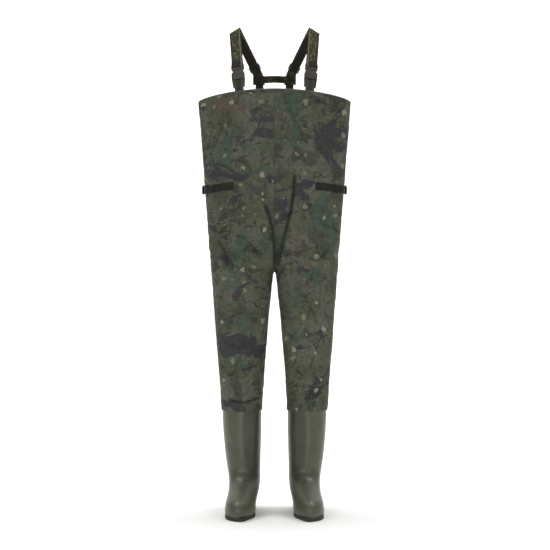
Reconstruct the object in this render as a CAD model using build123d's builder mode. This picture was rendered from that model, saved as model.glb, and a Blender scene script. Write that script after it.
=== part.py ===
from build123d import *
from math import cos, radians, sin, sqrt
import os

# Chest waders, standing on their boots. Millimetres, +Z up, the wearer faces -Y.
# The origin is on the ground, midway between the boots and midway along their length.
# Left and right are as seen from the front: left pieces are at -X, on the wearer's right.

os.makedirs("parts", exist_ok=True)

LEFT = -1
RIGHT = 1

# ---- driving dimensions ----
WALL = 2.0                 # proofed cloth and its lining
BIB_Z = 1395.0             # top edge at the centre front
BIB_Y = 43.0               # middle of the bib, front to back
LEAN = 0.0254              # how fast that middle moves back, going down
EDGE_ARC = 24.0            # drop of the top edge from the centre to the side seam
EDGE_SLOPE = 0.07          # drop of the top edge from front to back
HEM_HEIGHT = 14.0
HEM_THICK = 1.2

# height, half width, half depth of the body of the garment
BODY_OVALS = [
    (1430.0, 258.0, 101.0),
    (1366.0, 254.0, 100.0),
    (1256.0, 246.0, 99.0),
    (1180.0, 240.0, 98.0),
    (1095.0, 234.0, 97.0),
    (1010.0, 227.0, 96.0),
    (933.0, 221.0, 94.5),
    (866.0, 215.5, 92.5),
    (842.0, 200.0, 89.0),
    (822.0, 160.0, 80.0),
    (810.0, 110.0, 66.0),
    (805.0, 60.0, 50.0),
]
# height, middle in X, half width, half depth of a leg
LEG_OVALS = [
    (945.0, 92.0, 84.5, 68.0),
    (900.0, 100.5, 102.0, 85.0),
    (850.0, 107.0, 108.0, 89.5),
    (812.0, 107.0, 106.0, 90.5),
    (771.0, 108.5, 101.2, 89.5),
    (710.0, 108.9, 96.3, 87.0),
    (650.0, 109.4, 90.8, 83.5),
    (590.0, 109.8, 85.2, 80.0),
    (531.0, 110.4, 80.2, 77.5),
    (430.0, 110.2, 72.9, 74.5),
    (335.0, 109.6, 68.0, 73.0),
]

# boots
BOOT_WALL = 3.5
SPLAY = 2.5                # degrees the toes turn out
SOLE_TOP = 18.0
LUG_HEIGHT = 8.0
WELT = 2.5
SHAFT_TOP = 352.0
ANKLE_X = 104.0
SHAFT_Y = 70.0
# height, shift of the middle outward, middle in Y, half width, half depth of a boot
BOOT_OVALS = [
    (12.0, 2.6, 0.4, 46.0, 146.4),
    (24.0, 2.2, 0.6, 48.6, 148.0),
    (36.0, 1.4, 1.0, 49.4, 147.0),
    (48.0, 0.2, 4.0, 49.4, 142.5),
    (60.0, -2.4, 10.5, 49.4, 134.0),
    (72.0, -4.8, 21.5, 50.2, 121.5),
    (84.0, -5.8, 35.0, 51.1, 107.0),
    (98.0, -5.2, 50.5, 52.1, 90.5),
    (112.0, -3.7, 63.5, 53.2, 77.0),
    (130.0, -1.6, 72.0, 54.8, 69.0),
    (150.0, 0.0, 75.5, 56.8, 66.5),
    (190.0, 2.4, 75.0, 59.8, 66.4),
    (231.0, 3.7, 74.0, 61.9, 66.8),
    (275.0, 4.5, 72.0, 64.2, 68.0),
    (322.0, 5.3, 70.6, 65.3, 69.0),
    (SHAFT_TOP, 5.6, 69.7, 65.7, 69.4),
]

# webbing
WEB = 1.8                  # thickness of all webbing
FRONT_WEB = 38.0           # width of the wide elastic strap over the shoulder
REAR_WEB = 32.0            # width of the strap down to the yoke
TAB_WEB = 30.0
POST_WEB = 27.0
WAIST_WEB = 25.0

# the front strap's line, from the bib edge to the shoulder, on the left side
BIB_POINT = (-115.5, -38.8, 1395.0)
SHOULDER_POINT = (-131.0, 6.0, 1594.0)
FACING = 11.0              # degrees the strap turns outward, as the bib's front does there
FOLD_TILT = 25.6           # degrees between the strap's width and its shoulder fold
FOLD_RADIUS = 4.0
REAR_LAP = 40.0            # the wide strap's overlap behind the fold

# the yoke behind the shoulders
YOKE_Y = 103.0
YOKE_X = 53.0
YOKE_Z = 1447.0
PATCH = (40.0, 5.0, 30.0)
BAR_HEIGHT = 24.0
BAR_RISE = 2.0             # the crossbar sits this much above the patches' middle
POST_X = 51.0
SLIDER_Z = 1485.0

# side-release buckle, in the strap's plane: T is up along the strap from the socket's mouth
MOUTH_Z = 1453.0
SOCKET_T = -52.0
SOCKET_THICK = 12.0
SOCKET_TOP_W = 43.0
SOCKET_FOOT_W = 38.0
CAVITY_W = 37.6
CAVITY_THICK = 6.6
CAVITY_T = -21.0
HOUSING_T = -24.0
PRONG_THICK = 4.6
PRONG_X = 13.0
PRONG_PIVOT_T = 4.0
CLIP_W = 42.6
CLIP_THICK = 7.4
CLIP_T = 27.0
LADDER_T = 24.0
LADDER_R = 2.0
GAP = 0.4

# waist adjusters
WAIST_Z = 1079.0
WAIST_DROP = 0.075         # slope of the waist strap, down towards the side
LOCK_BACK = 17.0           # how far in front of the side seam the lock's middle is
LOCK_LENGTH = 36.0
LOCK_HEIGHT = 31.0
LOCK_THICK = 4.0
LOCK_R = 2.0


def centre_y(z):
    """Middle of the garment, front to back, at a height; the side seams lie on it."""
    return BIB_Y + LEAN * (BIB_Z - z)


def export(part, name):
    """Label a finished piece and write it."""
    part.label = name
    export_step(part, f"parts/{name}.step")


def export_pair(left_part, name):
    """Write the left piece and its mirror image for the right side."""
    export(left_part, f"left_{name}")
    export(left_part.mirror(Plane.YZ), f"right_{name}")


def body_loft(offset):
    """The body of the garment as a solid, its surface moved outward by offset."""
    with BuildPart() as body:
        for z, half_width, half_depth in BODY_OVALS:
            with BuildSketch(Plane.XY.offset(z)):
                with Locations((0, centre_y(z))):
                    Ellipse(half_width + offset, half_depth + offset)
        loft(ruled=True)
    return body.part


def leg_loft(side, offset, overrun=0.0):
    """One leg as a solid; overrun lengthens it below the hem."""
    z_hem = LEG_OVALS[-1][0]
    ovals = LEG_OVALS[:-1] + [(z_hem - overrun,) + LEG_OVALS[-1][1:]]
    with BuildPart() as leg:
        for z, middle, half_width, half_depth in ovals:
            with BuildSketch(Plane.XY.offset(z)):
                with Locations((side * middle, centre_y(z))):
                    Ellipse(half_width + offset, half_depth + offset)
        loft(ruled=True)
    return leg.part


def garment_solid(offset, overrun=0.0):
    """Body and legs as one solid."""
    with BuildPart() as whole:
        add(body_loft(offset))
        add(leg_loft(LEFT, offset, overrun))
        add(leg_loft(RIGHT, offset, overrun))
    return whole.part


def above_edge(rise):
    """Everything above the bib's top edge, raised by rise."""
    reach = 300.0
    start_y = -90.0
    length = 320.0
    z_mid = BIB_Z + rise + EDGE_SLOPE * (BIB_Y - BODY_OVALS[1][2] - start_y)
    z_end = z_mid - EDGE_ARC * (reach / BODY_OVALS[1][1]) ** 2
    back = Vector(0, 1, -EDGE_SLOPE)
    with BuildPart() as cutter:
        with BuildSketch(Plane((0, start_y, 0), x_dir=(1, 0, 0), z_dir=(0, -1, 0))):
            with BuildLine():
                ThreePointArc((-reach, z_end), (0, z_mid), (reach, z_end))
                Polyline((reach, z_end), (reach, 1700), (-reach, 1700), (-reach, z_end))
            make_face()
        extrude(amount=length, dir=back)
    return cutter.part


def edge_band(low, high):
    """The slice of space between two offsets of the top edge."""
    with BuildPart() as band:
        add(above_edge(low))
        add(above_edge(high), mode=Mode.SUBTRACT)
    return band.part


def seam_plane():
    """Plane through both side seams and both inseams, facing forward."""
    return Plane((0, BIB_Y, BIB_Z), x_dir=(1, 0, 0), z_dir=(0, -1, -LEAN))


# ---- the shell: two front panels and two back panels ----
outer = garment_solid(0.0)
edge_cutter = above_edge(0.0)

with BuildPart() as shell:
    add(outer)
    add(garment_solid(-WALL, overrun=12.0), mode=Mode.SUBTRACT)
    add(edge_cutter, mode=Mode.SUBTRACT)


def panel(face):
    """The left quarter of the shell, between the centre seam and the side seam."""
    with BuildPart() as quarter:
        add(shell.part)
        split(bisect_by=Plane.YZ, keep=Keep.BOTTOM)
        split(bisect_by=seam_plane(), keep=Keep.TOP if face == "front" else Keep.BOTTOM)
    return quarter.part


for face in ("front", "back"):
    export_pair(panel(face), f"{face}_panel")

# ---- hem binding, folded over the top edge ----
with BuildPart() as hem_binding:
    add(body_loft(HEM_THICK))
    add(body_loft(-WALL - HEM_THICK), mode=Mode.SUBTRACT)
    add(edge_band(-HEM_HEIGHT, HEM_THICK), mode=Mode.INTERSECT)
    add(shell.part, mode=Mode.SUBTRACT)
export(hem_binding.part, "hem_binding")

# ---- seam tapes inside the body ----
TAPE_HALF = 10.0
TAPE_THICK = 0.6
TAPE_LOW = 880.0
TAPE_HIGH = 1335.0
with BuildPart() as tape_skin:
    add(body_loft(-WALL))
    add(body_loft(-WALL - TAPE_THICK), mode=Mode.SUBTRACT)


def seam_tape(x, y, width_x, width_y):
    """The stretch of the inner skin that lies inside a box round one seam."""
    with BuildPart() as tape:
        add(tape_skin.part)
        with Locations((x, y, (TAPE_LOW + TAPE_HIGH) / 2)):
            Box(width_x, width_y, TAPE_HIGH - TAPE_LOW, mode=Mode.INTERSECT)
    return tape.part


export(seam_tape(0, BIB_Y - 80, 2 * TAPE_HALF, 100), "front_seam_tape")
export(seam_tape(0, BIB_Y + 100, 2 * TAPE_HALF, 100), "back_seam_tape")
export_pair(seam_tape(-220, BIB_Y + 7, 100, 2 * TAPE_HALF), "side_seam_tape")


# ---- boots ----
# outline of a foot in shares of its half width and half length, from the toe round outside
FOOT_SHAPE = [
    (0.0, 1.0),
    (0.68, 0.83),
    (1.0, 0.42),
    (0.84, -0.25),
    (0.66, -0.76),
    (0.0, -1.0),
    (-0.66, -0.76),
    (-0.78, -0.25),
    (-1.0, 0.42),
    (-0.58, 0.81),
]


def boot_outline(shift, middle_y, half_width, half_depth, inset, toe=0.0):
    """Outline, X outward and Y to the toe: an oval when toe is 0, a foot when it is 1."""
    w = half_width - inset
    d = half_depth - inset
    m = SHAFT_Y - middle_y
    points = []
    for i, (foot_x, foot_y) in enumerate(FOOT_SHAPE):
        angle = radians(360 / len(FOOT_SHAPE) * i)
        x = (1 - toe) * sin(angle) + toe * foot_x
        y = (1 - toe) * cos(angle) + toe * foot_y
        points.append((shift + w * x, m + d * y))
    return points


def foot_plane(z):
    """Horizontal plane in the left boot's shaft, turned so that the toes point outward."""
    turn = radians(SPLAY)
    return Plane((-ANKLE_X, SHAFT_Y, z), x_dir=(-cos(turn), sin(turn), 0), z_dir=(0, 0, 1))


def toe_share(z):
    """1 at the sole, 0 from the ankle up."""
    return max(0.0, min(1.0, (112.0 - z) / 70.0))


def boot_loft(inset, floor, overrun=0.0):
    """The boot as a solid, its surface moved inward by inset."""
    with BuildPart() as solid:
        for z, *oval in BOOT_OVALS:
            height = z
            if z == BOOT_OVALS[0][0]:
                height = floor
            if z == SHAFT_TOP:
                height = z + overrun
            with BuildSketch(foot_plane(height)):
                with BuildLine():
                    Spline(*boot_outline(*oval, inset, toe_share(z)), periodic=True)
                make_face()
        loft(ruled=True)
    return solid.part


def foot_slab(z_low, z_high, inset):
    """A flat piece with the outline of the sole."""
    with BuildPart() as slab:
        with BuildSketch(foot_plane(z_low)):
            with BuildLine():
                Spline(*boot_outline(*SOLE_OVAL, inset, 1.0), periodic=True)
            make_face()
        extrude(amount=z_high - z_low)
    return slab.part


SOLE_OVAL = BOOT_OVALS[0][1:]
with BuildPart() as boot:
    add(boot_loft(0.0, BOOT_OVALS[0][0]))
    add(boot_loft(BOOT_WALL, SOLE_TOP, 5.0), mode=Mode.SUBTRACT)
export_pair(boot.part, "boot")

# outsole: a welted slab, cut by grooves into lugs under the ball and the heel
LUG_PITCH = 15.0
GROOVE = 6.0
ARCH_LOW = 12.0
ARCH_HIGH = 62.0
with BuildPart() as outsole:
    add(foot_slab(0.0, BOOT_OVALS[0][0], -WELT))
    with BuildSketch(foot_plane(0)):
        with GridLocations(0, LUG_PITCH, 1, 20):
            Rectangle(160, GROOVE)
        Rectangle(GROOVE, 400)
    extrude(amount=LUG_HEIGHT, mode=Mode.SUBTRACT)
    with BuildSketch(foot_plane(0)):
        with Locations((0, SHAFT_Y - (ARCH_LOW + ARCH_HIGH) / 2)):
            Rectangle(160, ARCH_HIGH - ARCH_LOW)
    extrude(amount=LUG_HEIGHT, mode=Mode.SUBTRACT)
export_pair(outsole.part, "outsole")

export_pair(foot_slab(SOLE_TOP + 0.2, SOLE_TOP + 3.2, BOOT_WALL + 6.0), "insole")


# ---- shoulder straps ----
def frame_of(foot, head, outward):
    """Plane with X across the strap, Y up along it and Z out of its face."""
    up = (Vector(*head) - Vector(*foot)).normalized()
    across = up.cross(outward).normalized()
    return Plane(foot, x_dir=across, z_dir=across.cross(up))


def at(plane, x, y, z=0.0):
    """World point of local coordinates."""
    return plane.origin + plane.x_dir * x + plane.y_dir * y + plane.z_dir * z


def profile_plane(plane):
    """The plane's own section: X up along the strap, Y out of its face."""
    return Plane(plane.origin, x_dir=plane.y_dir, z_dir=plane.x_dir)


def flat_piece(plane, corners, thickness):
    """A flat piece of cloth or webbing centred on a plane, from its corners."""
    with BuildPart() as piece:
        with BuildSketch(plane):
            with BuildLine():
                Polyline(*corners, close=True)
            make_face()
        extrude(amount=thickness / 2, both=True)
    return piece.part


turn_out = radians(FACING)
FRONT_FACING = Vector(-sin(turn_out), -cos(turn_out), 0)
bib_frame = frame_of(BIB_POINT, SHOULDER_POINT, FRONT_FACING)
mouth_rise = (MOUTH_Z - BIB_Z) / bib_frame.y_dir.Z
strap_frame = Plane(at(bib_frame, 0, mouth_rise), x_dir=bib_frame.x_dir, z_dir=bib_frame.z_dir)
strap_side = profile_plane(strap_frame)
strap_length = (Vector(*SHOULDER_POINT) - strap_frame.origin).length

# the shoulder fold: a line across the strap, outer end low
fold = radians(FOLD_TILT)
fold_dir = (strap_frame.x_dir * cos(fold) + strap_frame.y_dir * sin(fold)).normalized()
fold_length = FRONT_WEB / cos(fold)
fold_reach = FOLD_RADIUS + WEB / 2
fold_axis = at(strap_frame, 0, strap_length, -fold_reach)

# the rear strap's plane holds the fold line; its inner edge starts at the fold's inner end
yoke_top = Vector(-YOKE_X, YOKE_Y, YOKE_Z + PATCH[2] / 2 - 2.0)
rear_normal = Vector(0, -1, 0)
for _ in range(6):
    rear_start = fold_axis - rear_normal * fold_reach + fold_dir * (fold_length - REAR_WEB) / 2
    rear_down = (yoke_top - rear_start).normalized()
    rear_normal = fold_dir.cross(rear_down).normalized()
    rear_normal = rear_normal * (-1 if rear_normal.Y > 0 else 1)
rear_frame = Plane(rear_start, x_dir=(rear_down * -1).cross(rear_normal), z_dir=rear_normal)

# wide front strap: loop round the clip's bar, straight run, fold and a lap behind
LOOP_R = LADDER_R + GAP + WEB / 2
LOOP_LEAVES = 31.0         # where the loop's front starts to close on the strap
LOOP_RETURNS = 33.0        # where its back does
LOOP_JOIN = 44.0
LOOP_END = 82.0
BACK_LAYER = -WEB - 0.1
half_front = FRONT_WEB / 2
fold_rise = half_front * sin(fold) / cos(fold)
fold_section = Plane(fold_axis, x_dir=strap_frame.z_dir, z_dir=fold_dir)
fold_turn = (rear_normal * -1).get_signed_angle(strap_frame.z_dir, fold_dir)
lap_edge = Vector(fold_dir.dot(rear_frame.x_dir), fold_dir.dot(rear_frame.y_dir))
lap_inner = REAR_WEB / 2
with BuildPart() as front_strap:
    with BuildSketch(strap_frame):
        with BuildLine():
            Polyline(
                (-half_front, LOOP_JOIN),
                (half_front, LOOP_JOIN),
                (half_front, strap_length + fold_rise),
                (-half_front, strap_length - fold_rise),
                close=True,
            )
        make_face()
    extrude(amount=WEB / 2, both=True)
    with BuildSketch(strap_side):
        with BuildLine():
            Polyline(
                (LOOP_JOIN + 2, 0),
                (LOOP_JOIN - 2, 0),
                (LOOP_LEAVES, LOOP_R),
                (LADDER_T, LOOP_R),
            )
            ThreePointArc((LADDER_T, LOOP_R), (LADDER_T - LOOP_R, 0), (LADDER_T, -LOOP_R))
            Polyline(
                (LADDER_T, -LOOP_R),
                (LOOP_RETURNS, -LOOP_R),
                (LOOP_JOIN + 2, BACK_LAYER),
                (LOOP_END, BACK_LAYER),
            )
        trace(line_width=WEB)
    extrude(amount=FRONT_WEB / 2, both=True)
    with BuildSketch(fold_section):
        with BuildLine():
            CenterArc((0, 0), fold_reach, 0, -fold_turn)
        trace(line_width=WEB)
    extrude(amount=fold_length / 2, both=True)
    with BuildSketch(rear_frame):
        with BuildLine():
            Polyline(
                (lap_inner, lap_edge.Y / lap_edge.X * lap_inner),
                (lap_inner, -REAR_LAP),
                (-lap_inner, -REAR_LAP),
                (
                    lap_inner - fold_length * lap_edge.X,
                    lap_edge.Y / lap_edge.X * lap_inner - fold_length * lap_edge.Y,
                ),
                close=True,
            )
        make_face()
    extrude(amount=WEB / 2, both=True)
export_pair(front_strap.part, "front_strap")

# yoke patches, where three straps are box-stitched together
with BuildPart() as yoke_patch:
    with Locations((-YOKE_X, YOKE_Y, YOKE_Z)):
        Box(*PATCH)
    fillet(yoke_patch.edges().filter_by(Axis.Y), 3.0)
export_pair(yoke_patch.part, "yoke_patch")

# rear strap, sewn behind the lap and into the yoke patch
REAR_START = 8.0           # how far below the fold it starts
REAR_OVERRUN = 10.0        # surplus length, trimmed off at the yoke patch
PATCH_REACH = 20.0         # size of the trimming block beyond the patch
rear_run = (yoke_top - rear_start).length
with BuildPart() as rear_strap:
    add(
        flat_piece(
            rear_frame.offset(-WEB),
            [
                (REAR_WEB / 2, -REAR_START),
                (REAR_WEB / 2, -rear_run - REAR_OVERRUN),
                (-REAR_WEB / 2, -rear_run - REAR_OVERRUN),
                (-REAR_WEB / 2, -REAR_START),
            ],
            WEB,
        )
    )
    with Locations((-YOKE_X, YOKE_Y - PATCH_REACH, YOKE_Z - PATCH_REACH)):
        trim = 4 * PATCH_REACH
        Box(trim, trim, PATCH[2] + 2 * PATCH_REACH, mode=Mode.SUBTRACT)
export_pair(rear_strap.part, "rear_strap")

with BuildPart() as yoke_crossbar:
    with Locations((0, YOKE_Y, YOKE_Z + BAR_RISE)):
        Box(2 * YOKE_X - PATCH[0], WEB, BAR_HEIGHT)
export(yoke_crossbar.part, "yoke_crossbar")

# back straps, from the yoke patch down to the inside of the back panel
POST_SEWN_Y = 134.6
POST_LOW = 1300.0
POST_BEND = 1372.0
with BuildPart() as back_strap:
    with BuildSketch(Plane((-POST_X, 0, 0), x_dir=(0, 1, 0), z_dir=(1, 0, 0))):
        with BuildLine():
            Polyline(
                (YOKE_Y, YOKE_Z - PATCH[2] / 2 + 2),
                (YOKE_Y, YOKE_Z - PATCH[2] / 2 - 4),
                (POST_SEWN_Y, POST_BEND),
                (POST_SEWN_Y, POST_LOW),
            )
        trace(line_width=WEB)
    extrude(amount=POST_WEB / 2, both=True)
    add(yoke_patch.part, mode=Mode.SUBTRACT)
export_pair(back_strap.part, "back_strap")

# rear slider, a three-bar frame that the rear strap runs through
SLIDER = (39.4, 21.0, 6.4)
SLIDER_BAR = 3.3
SLIDER_MIDDLE_BAR = 4.0
SLIDER_CUT = 20.0          # depth of the channel that opens the frame behind the strap
slider_t = (SLIDER_Z - rear_frame.origin.Z) / rear_frame.y_dir.Z
slider_frame = Plane(
    at(rear_frame, 0, slider_t, -WEB), x_dir=rear_frame.x_dir, z_dir=rear_frame.z_dir
)
bar_thick = SLIDER[2] / 2 - WEB / 2 - GAP
with BuildPart() as rear_slider:
    with BuildSketch(slider_frame.offset(-SLIDER[2] / 2)):
        RectangleRounded(SLIDER[0], SLIDER[1], 3.0)
        Rectangle(REAR_WEB + 2 * GAP, SLIDER[1] - 2 * SLIDER_BAR, mode=Mode.SUBTRACT)
    extrude(amount=SLIDER[2])
    with BuildSketch(slider_frame.offset(WEB / 2 + GAP - SLIDER_CUT)):
        Rectangle(REAR_WEB + 2 * GAP, SLIDER[1] + 2)
    extrude(amount=SLIDER_CUT, mode=Mode.SUBTRACT)
    with BuildSketch(slider_frame.offset(-SLIDER[2] / 2)):
        Rectangle(REAR_WEB + 2 * GAP + 1, SLIDER_MIDDLE_BAR)
    extrude(amount=bar_thick)
export_pair(rear_slider.part, "rear_slider")

# ---- side-release buckle ----
TAB_BAR_T = -29.0
TAB_BAR_R = 2.2
RAIL_GAP = TAB_WEB / 2 + 0.6
WINDOW = (-16.5, -5.2)     # the side windows that the barbs show through
MOUTH_BEVEL = (1.5, 5.0)
SOCKET_FILLET = 1.6
with BuildPart() as buckle_socket:
    with BuildSketch(strap_frame):
        with BuildLine():
            Polyline(
                (-SOCKET_TOP_W / 2 + MOUTH_BEVEL[0], 0),
                (SOCKET_TOP_W / 2 - MOUTH_BEVEL[0], 0),
                (SOCKET_TOP_W / 2, -MOUTH_BEVEL[1]),
                (SOCKET_TOP_W / 2, HOUSING_T),
                (SOCKET_FOOT_W / 2, SOCKET_T),
                (-SOCKET_FOOT_W / 2, SOCKET_T),
                (-SOCKET_TOP_W / 2, HOUSING_T),
                (-SOCKET_TOP_W / 2, -MOUTH_BEVEL[1]),
                close=True,
            )
        make_face()
    extrude(amount=SOCKET_THICK / 2, both=True)
    long_edges = buckle_socket.edges().filter_by(GeomType.LINE)
    face_edges = long_edges.filter_by(lambda e: abs(e.tangent_at(0).dot(strap_frame.z_dir)) < 0.1)
    fillet(face_edges, SOCKET_FILLET)
    with BuildSketch(strap_frame):
        with Locations((0, CAVITY_T / 2)):
            Rectangle(CAVITY_W, -CAVITY_T + 0.02)
    extrude(amount=CAVITY_THICK / 2, both=True, mode=Mode.SUBTRACT)
    with BuildSketch(strap_frame):
        with Locations((0, (WINDOW[0] + WINDOW[1]) / 2)):
            Rectangle(SOCKET_TOP_W + 4, WINDOW[1] - WINDOW[0])
    extrude(amount=PRONG_THICK / 2 + 0.5, both=True, mode=Mode.SUBTRACT)
    with BuildSketch(strap_frame):
        with Locations((0, (HOUSING_T + SOCKET_T) / 2 - 5)):
            Rectangle(2 * RAIL_GAP, HOUSING_T - SOCKET_T + 10)
    extrude(amount=SOCKET_THICK, both=True, mode=Mode.SUBTRACT)
    with BuildSketch(strap_side):
        with Locations((TAB_BAR_T, 0)):
            Circle(TAB_BAR_R)
    extrude(amount=RAIL_GAP + 0.5, both=True)
export_pair(buckle_socket.part, "buckle_socket")

NECK = 16.8                # half width of the clip's lower edge
SHOULDER_T = 9.0           # height at which it reaches its full width
NECK_T = 4.0
PLATE_T = 17.0
CLIP_FILLET = 0.9
SLOT_IN = 9.6
SLOT_OUT = 15.4
PIVOT_R = 2.2
TONGUE = (8.0, 18.4, 3.0)  # guide blade between the prongs
TONGUE_T = -8.5
with BuildPart() as buckle_clip:
    with BuildSketch(strap_frame):
        with BuildLine():
            Polyline(
                (-NECK, GAP),
                (NECK, GAP),
                (NECK + 0.6, NECK_T),
                (CLIP_W / 2, SHOULDER_T),
                (CLIP_W / 2, CLIP_T),
                (-CLIP_W / 2, CLIP_T),
                (-CLIP_W / 2, SHOULDER_T),
                (-NECK - 0.6, NECK_T),
                close=True,
            )
        make_face()
    extrude(amount=CLIP_THICK / 2, both=True)
    clip_edges = buckle_clip.edges().filter_by(GeomType.LINE)
    clip_rim = clip_edges.filter_by(lambda e: abs(e.tangent_at(0).dot(strap_frame.z_dir)) < 0.1)
    fillet(clip_rim, CLIP_FILLET)
    with BuildSketch(strap_frame):
        with Locations((0, PLATE_T + 10)):
            Rectangle(FRONT_WEB + 2 * GAP, 20)
    extrude(amount=CLIP_THICK, both=True, mode=Mode.SUBTRACT)
    with BuildSketch(strap_side):
        with Locations((LADDER_T, 0)):
            Circle(LADDER_R)
    extrude(amount=FRONT_WEB / 2 + GAP + 0.5, both=True)
    with BuildSketch(strap_frame):
        with Locations((PRONG_X, PRONG_PIVOT_T), (-PRONG_X, PRONG_PIVOT_T)):
            Circle(PIVOT_R + GAP)
        for way in (LEFT, RIGHT):
            with Locations((way * (SLOT_IN + SLOT_OUT) / 2, PRONG_PIVOT_T / 2 - 0.5)):
                Rectangle(SLOT_OUT - SLOT_IN, PRONG_PIVOT_T + 1)
    extrude(amount=PRONG_THICK / 2 + GAP, both=True, mode=Mode.SUBTRACT)
    with BuildSketch(strap_frame):
        with Locations((0, TONGUE_T)):
            Rectangle(TONGUE[0], TONGUE[1])
    extrude(amount=TONGUE[2] / 2, both=True)
export_pair(buckle_clip.part, "buckle_clip")


ARM = 1.8                  # half width of a prong
BARB_X = 20.8              # how far out the barb reaches
BARB_T = (-6.2, -6.6, -9.0, -16.0)
PRONG_TIP = -19.0
TIP_HALF = 1.2


def prong(way):
    """One flexing prong with its barb; way is +1 towards the wearer's middle."""
    with BuildPart() as arm:
        with BuildSketch(strap_frame):
            with Locations((way * PRONG_X, PRONG_PIVOT_T)):
                Circle(PIVOT_R)
            with BuildLine():
                Polyline(
                    (way * (PRONG_X - ARM), PRONG_PIVOT_T),
                    (way * (PRONG_X + ARM), PRONG_PIVOT_T),
                    (way * (PRONG_X + ARM), BARB_T[0]),
                    (way * BARB_X, BARB_T[1]),
                    (way * BARB_X, BARB_T[2]),
                    (way * (PRONG_X + ARM), BARB_T[3]),
                    (way * (PRONG_X + TIP_HALF), PRONG_TIP),
                    (way * (PRONG_X - TIP_HALF), PRONG_TIP),
                    close=True,
                )
            make_face()
        extrude(amount=PRONG_THICK / 2, both=True)
    return arm.part


export_pair(prong(RIGHT), "inner_prong")
export_pair(prong(LEFT), "outer_prong")

# bib tab: sewn inside the bib, up to the socket's bar, round it and back down
TAB_LOOP_R = TAB_BAR_R + GAP + WEB / 2
TAB_CLOSES = -46.0         # where the tab's two layers meet below the bar
TAB_OPENS = -35.0
TAB_BEND = -58.0
TAB_SEWN = 50.0
TAB_LAYER = WEB / 2 + 0.05
sewn_t = TAB_BEND - TAB_SEWN * strap_frame.y_dir.Z
sewn_in = -TAB_SEWN * strap_frame.z_dir.Z
with BuildPart() as bib_tab:
    with BuildSketch(strap_side):
        with BuildLine():
            Polyline(
                (sewn_t, TAB_LAYER + sewn_in),
                (TAB_BEND, TAB_LAYER),
                (TAB_CLOSES, TAB_LAYER),
                (TAB_OPENS, TAB_LOOP_R),
                (TAB_BAR_T, TAB_LOOP_R),
            )
            ThreePointArc(
                (TAB_BAR_T, TAB_LOOP_R), (TAB_BAR_T + TAB_LOOP_R, 0), (TAB_BAR_T, -TAB_LOOP_R)
            )
            Polyline(
                (TAB_BAR_T, -TAB_LOOP_R),
                (TAB_OPENS, -TAB_LOOP_R),
                (TAB_CLOSES, -TAB_LAYER),
                (TAB_BEND, -TAB_LAYER),
                (sewn_t, -TAB_LAYER + sewn_in),
            )
        trace(line_width=WEB)
    extrude(amount=TAB_WEB / 2, both=True)
export_pair(bib_tab.part, "bib_tab")

# ---- waist adjusters ----
SKIN_GAP = 0.4
STRAP_START_X = 135.0
LOCK_Z = 1071.5
FRONT_RUN_END = 47.0       # how far in front of the side seam the front run stops
REAR_RUN_END = 74          # how far behind the side seam the rear strap is sewn
ANCHOR_LIFT = 1.6
waist_half = WAIST_WEB / 2
with BuildPart() as waist_skin:
    add(body_loft(SKIN_GAP + WEB))
    add(body_loft(SKIN_GAP), mode=Mode.SUBTRACT)
    with Locations((-200, BIB_Y, LOCK_Z)):
        Box(180, 300, 80, mode=Mode.INTERSECT)

front_drop = WAIST_DROP * 100
with BuildPart() as waist_strap:
    add(waist_skin.part)
    with BuildSketch(Plane((0, centre_y(LOCK_Z) - FRONT_RUN_END, 0), (1, 0, 0), (0, -1, 0))):
        with BuildLine():
            Polyline(
                (-STRAP_START_X, WAIST_Z + waist_half),
                (-STRAP_START_X, WAIST_Z - waist_half),
                (-STRAP_START_X - 100, WAIST_Z - front_drop - waist_half),
                (-STRAP_START_X - 100, WAIST_Z - front_drop + waist_half),
                close=True,
            )
        make_face()
    extrude(amount=120, mode=Mode.INTERSECT)
export_pair(waist_strap.part, "waist_strap")

# the lock's plane: X forward round the body, Y up, Z outward
half_w = 233.0
half_d = 97.0              # half sizes of the body at the lock's height
lock_x = -half_w * sqrt(1 - (LOCK_BACK / half_d) ** 2)
lock_out = Vector(lock_x / half_w**2, -LOCK_BACK / half_d**2, 0).normalized()
LOCK_STAND = 3.2
lock_frame = Plane(
    Vector(lock_x, centre_y(LOCK_Z) - LOCK_BACK, LOCK_Z) + lock_out * LOCK_STAND,
    x_dir=(-lock_out.Y, lock_out.X, 0),
    z_dir=lock_out,
)
lock_plan = Plane(lock_frame.origin, x_dir=lock_frame.x_dir, z_dir=(0, 0, -1))
REAR_BAR = -15.5
FRONT_BAR = 15.0
LOCK_WINDOWS = ((-8.0, 15.0), (8.5, 13.0))
LOCK_NOTCH = 17.0
with BuildPart() as waist_lock:
    with BuildSketch(lock_frame):
        RectangleRounded(LOCK_LENGTH, LOCK_HEIGHT, 3.0)
        for middle, width in LOCK_WINDOWS:
            with Locations((middle, 0)):
                Rectangle(width, WAIST_WEB + 1.0, mode=Mode.SUBTRACT)
    extrude(amount=LOCK_THICK / 2, both=True)
    with BuildSketch(lock_frame):
        with Locations((-LOCK_NOTCH, 0), (LOCK_NOTCH, 0)):
            Rectangle(4.2, WAIST_WEB + 1.0)
    extrude(amount=LOCK_THICK, both=True, mode=Mode.SUBTRACT)
    with BuildSketch(lock_plan.offset(-waist_half - 1.0)):
        with Locations((REAR_BAR, 0), (FRONT_BAR, 0)):
            Circle(LOCK_R)
    extrude(amount=WAIST_WEB + 2.0)
export_pair(waist_lock.part, "waist_lock")

seam_y = centre_y(LOCK_Z)


def on_skin(back, lift=SKIN_GAP + WEB / 2):
    """Plan coordinates of a point just off the garment, a distance behind the side seam."""
    x = -half_w * sqrt(1 - (back / half_d) ** 2)
    out = Vector(x / half_w**2, back / half_d**2, 0).normalized()
    local = lock_plan.to_local_coords(Vector(x, seam_y + back, LOCK_Z) + out * lift)
    return (local.X, local.Y)


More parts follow.
